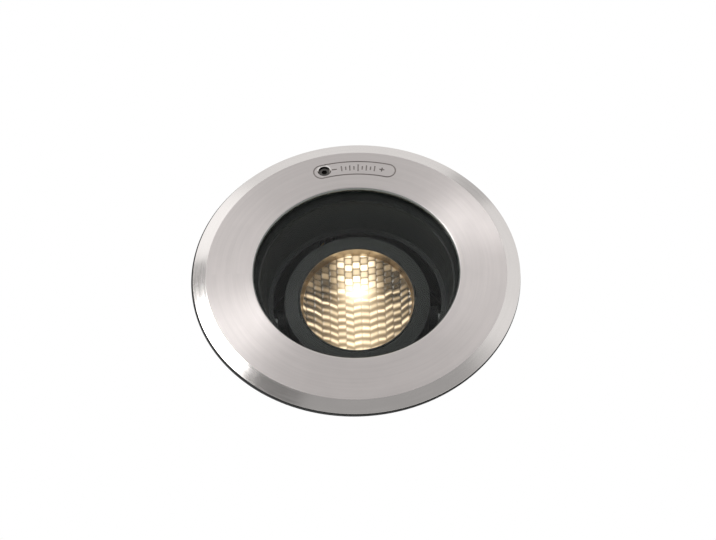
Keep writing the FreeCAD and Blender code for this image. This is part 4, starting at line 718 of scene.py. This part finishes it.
def make_lens():
    """The pillowed lens, its painted glow kept at each point for the finish to read."""
    top = [(LENS_RADIUS * (1 - index / LENS_RINGS), LENS_TOP) for index in range(1, LENS_RINGS)]
    bm = lathe([(0, LEDGE), (LENS_RADIUS, LEDGE), (LENS_RADIUS, LENS_TOP)] + top
               + [(0, LENS_TOP)], steps=LENS_STEPS)
    for vert in bm.verts:
        if vert.co.z > LENS_TOP - 0.01 and math.hypot(vert.co.x, vert.co.y) < LENS_RADIUS - 0.2:
            vert.co.z -= LENS_PILLOW * (1 - pillow(*lens_cell(vert.co.x, vert.co.y)[2:]))
    glow = [painted_lens_glow(vert.co.x, vert.co.y) if vert.co.z > LENS_TOP - 1 else EDGE_PAINTED_GLOW
            for vert in bm.verts]
    lens = finished("pillow_lens", bm, ["lens_resin"], sharp=40.0, in_head=True)
    lens.data.attributes.new("glow", "FLOAT", "POINT").data.foreach_set("value", glow)
    return stand_in(lens, "lamp_head", "lens_resin", "beam_lens")


def make_glare_ring():
    """The dark ring round the lens."""
    bm = lathe(GLARE_OUTLINE, soften=0.2)
    return stand_in(finished("glare_lip", bm, ["glare_coat"], in_head=True), "lamp_head",
                    "glare_coat", "glare_ring")


# ---------------------------------------------------------------- sleeve

SLEEVE_OUT, RIB_COUNT, RIB_WIDE, RIB_HIGH = 89.5, 12, 2.4, 0.5
RIB_LOW, RIB_TOP = -172.0, -14.0
BEAD_HEIGHTS, BEAD_HALF = (-14.0, -74.0, -134.0), 1.5


def make_sleeve_ribs():
    """Shallow moulded ribs down the sleeve and three beads round it."""
    bm = bmesh.new()
    for index in range(RIB_COUNT):
        place = (Matrix.Rotation(2 * math.pi * (index + 0.5) / RIB_COUNT, 4, "Z")
                 @ Matrix.Translation((SLEEVE_OUT, 0, (RIB_LOW + RIB_TOP) / 2))
                 @ Matrix.Diagonal((2 * RIB_HIGH, RIB_WIDE, RIB_TOP - RIB_LOW, 1)))
        bmesh.ops.create_cube(bm, size=1.0, matrix=place)
    bmesh.ops.bevel(bm, geom=list(bm.edges), offset=0.3, segments=2, profile=0.5,
                    affect="EDGES", clamp_overlap=True, material=-1)
    stand_in(finished("sleeve_ribs", bm, ["sleeve_plastic"]), "sleeve", "sleeve_plastic")
    for number, height in enumerate(BEAD_HEIGHTS, 1):
        bead = washer(SLEEVE_OUT - RIB_HIGH, SLEEVE_OUT + RIB_HIGH, height - BEAD_HALF,
                      height + BEAD_HALF, 0.3)
        stand_in(finished(f"sleeve_bead_{number}", bead, ["sleeve_plastic"]), "sleeve",
                 "sleeve_plastic")


# ---------------------------------------------------------------- stage, light and camera

FLOOR_HEIGHT, FLOOR_REACH = -181.0, 3000.0
GROUND_IN = 90.0                            # the ground's edge, under the trim
SLEEVE_SHIFT, SLEEVE_FOOT = -103.0, 112.0   # where the camera sees the sleeve's foot, at z = 0
SHEET_STEPS = 96


def paper(name, contact=None):
    """A surface that is white to the eye and pale to the light; contact paints shade into its
    corners.
    """
    made = bpy.data.materials.new(name)
    made.use_nodes = True
    tree = made.node_tree
    tree.nodes.clear()
    end = tree.nodes.new("ShaderNodeOutputMaterial")
    path = tree.nodes.new("ShaderNodeLightPath")
    seen = sums(tree, "MAXIMUM", path.outputs["Is Camera Ray"], path.outputs["Is Glossy Ray"])
    seen = sums(tree, "MAXIMUM", seen, path.outputs["Is Transmission Ray"])
    shade = (1, 1, 1, 1)
    if contact:
        reach, least = contact
        near = put(tree, "ShaderNodeAmbientOcclusion", {"Distance": reach * MM}, samples=16)
        shade = spread(tree, near.outputs["AO"], 0.45, 1.0, least, 1.0, smooth=False)
    white = put(tree, "ShaderNodeEmission", {"Color": shade, "Strength": 1.0})
    matt = put(tree, "ShaderNodeBsdfDiffuse", {"Color": (0.8, 0.8, 0.8, 1)})
    both = put(tree, "ShaderNodeMixShader", {0: seen, 1: matt.outputs[0], 2: white.outputs[0]})
    tree.links.new(both.outputs[0], end.inputs["Surface"])
    return made


def make_stage():
    """A pale floor under the sleeve and a thin pale sheet for the ground in front."""
    bm = bmesh.new()
    bmesh.ops.create_circle(bm, cap_ends=True, segments=SHEET_STEPS, radius=FLOOR_REACH)
    floor = finished("floor", shift(bm, z=FLOOR_HEIGHT), [])
    floor.data.materials.append(paper("Pale floor", (45.0, 0.5)))
    bm = bmesh.new()
    near, far = [], []
    for index in range(SHEET_STEPS + 1):
        turn = Matrix.Rotation(-math.pi * index / SHEET_STEPS, 3, "Z")
        way = Vector((-1, 0, 0)) @ turn
        near.append(bm.verts.new(GROUND_IN * way))
        far.append(bm.verts.new(Vector((0, SLEEVE_SHIFT, 0)) + SLEEVE_FOOT * way))
    for index in range(SHEET_STEPS):
        bm.faces.new((near[index], far[index], far[index + 1], near[index + 1]))
    bmesh.ops.recalc_face_normals(bm, faces=bm.faces)
    ground = finished("ground_in_front", bm, [])
    ground.data.materials.append(paper("Pale ground"))
    ground.visible_shadow = ground.visible_diffuse = ground.visible_glossy = False
    ground.visible_transmission = False


# Bright or dim patches of the studio, each laid over the ones before it: the way to its middle,
# its half width and the half width of its soft edge in degrees, and its level.
STUDIO_PATCHES = (
    ((0.52, 0.34, 0.785), 6.5, 3.0, 1.06),      # lifts the flat at the right
    ((0.35, 0.845, 0.41), 4.0, 2.5, 0.68),      # dims the bevel behind right
    ((-0.32, 0.05, 0.945), 5.5, 3.0, 0.27),     # dark notch of the bevel in front left
    ((-0.45, 0.74, 0.50), 10.0, 4.5, 1.38),     # lifts the bevel behind left
    ((-0.528, 0.573, 0.625), 3.8, 2.0, 0.55),   # dark notch of the bevel at the left
    ((-0.505, 0.317, 0.80), 9.6, 1.6, 7.0),     # the key light, which makes the two bright wedges
)


def make_light():
    """A white studio: bright all round, grey straight overhead, with its soft patches."""
    world = bpy.data.worlds.new("Studio")
    bpy.context.scene.world = world
    world.use_nodes = True
    tree = world.node_tree
    tree.nodes.clear()
    end = tree.nodes.new("ShaderNodeOutputWorld")
    way = put(tree, "ShaderNodeTexCoord").outputs["Generated"]
    height = put(tree, "ShaderNodeSeparateXYZ", {0: way}).outputs["Z"]
    level = sums(tree, "MULTIPLY", spread(tree, height, 0.70, 0.83, 1.0, 0.79),
                 spread(tree, height, 0.86, 0.905, 1.0, 0.60))
    for middle, wide, soft, value in STUDIO_PATCHES:
        facing = put(tree, "ShaderNodeVectorMath", {0: way, 1: Vector(middle).normalized()},
                     operation="DOT_PRODUCT").outputs["Value"]
        inside = spread(tree, facing, math.cos(math.radians(wide + soft)),
                        math.cos(math.radians(wide - soft)))
        level = put(tree, "ShaderNodeMix", {0: inside, 2: level, 3: value},
                    data_type="FLOAT").outputs[0]
    studio = put(tree, "ShaderNodeBackground", {"Color": level, "Strength": 1.0})
    white = put(tree, "ShaderNodeBackground", {"Color": (1, 1, 1, 1), "Strength": 1.0})
    seen = tree.nodes.new("ShaderNodeLightPath").outputs["Is Camera Ray"]
    both = put(tree, "ShaderNodeMixShader", {0: seen, 1: studio.outputs[0],
                                             2: white.outputs[0]})
    tree.links.new(both.outputs[0], end.inputs["Surface"])


CAMERA_PLACE = (0, -0.5450, 0.7781)         # metres
CAMERA_TILT, CAMERA_ROLL = 35.01, -1.93     # degrees from straight down, and about its own axis
SENSOR_WIDTH, LENS_LENGTH = 36.0, 84.33
FRAME_SHIFT = (0.00213, 0.00693)


def make_camera():
    """The camera as fitted to the photograph's two circles of the ring."""
    data = bpy.data.cameras.new("Camera")
    data.sensor_width = SENSOR_WIDTH
    data.lens = LENS_LENGTH
    data.shift_x, data.shift_y = FRAME_SHIFT
    camera = bpy.data.objects.new("Camera", data)
    bpy.context.scene.collection.objects.link(camera)
    camera.matrix_world = (Matrix.Translation(CAMERA_PLACE)
                           @ Matrix.Rotation(math.radians(CAMERA_TILT), 4, "X")
                           @ Matrix.Rotation(math.radians(CAMERA_ROLL), 4, "Z"))
    bpy.context.scene.camera = camera


make_camera()
make_light()
make_stage()
make_trim()
make_rings()
make_pane()
make_reflector()
make_lens()
make_glare_ring()
make_sleeve_ribs()

# The plain solids that stay in view get their slot's finish; the spindle and its bush get
# blackened steel instead, as painted shade in the key hole.
PAINTED_SHADE_FINISH = {"adjuster_spindle": "black_steel", "spindle_bush": "black_steel"}
for entry in frame["record"]["subparts"]:
    solid = frame["nodes"][entry["node"]]
    if not solid.hide_render:
        solid.data.materials.clear()
        solid.data.materials.append(
            FINISH[PAINTED_SHADE_FINISH.get(entry["node"], entry["material_slot"])])

bpy.context.scene.view_settings.view_transform = "Standard"
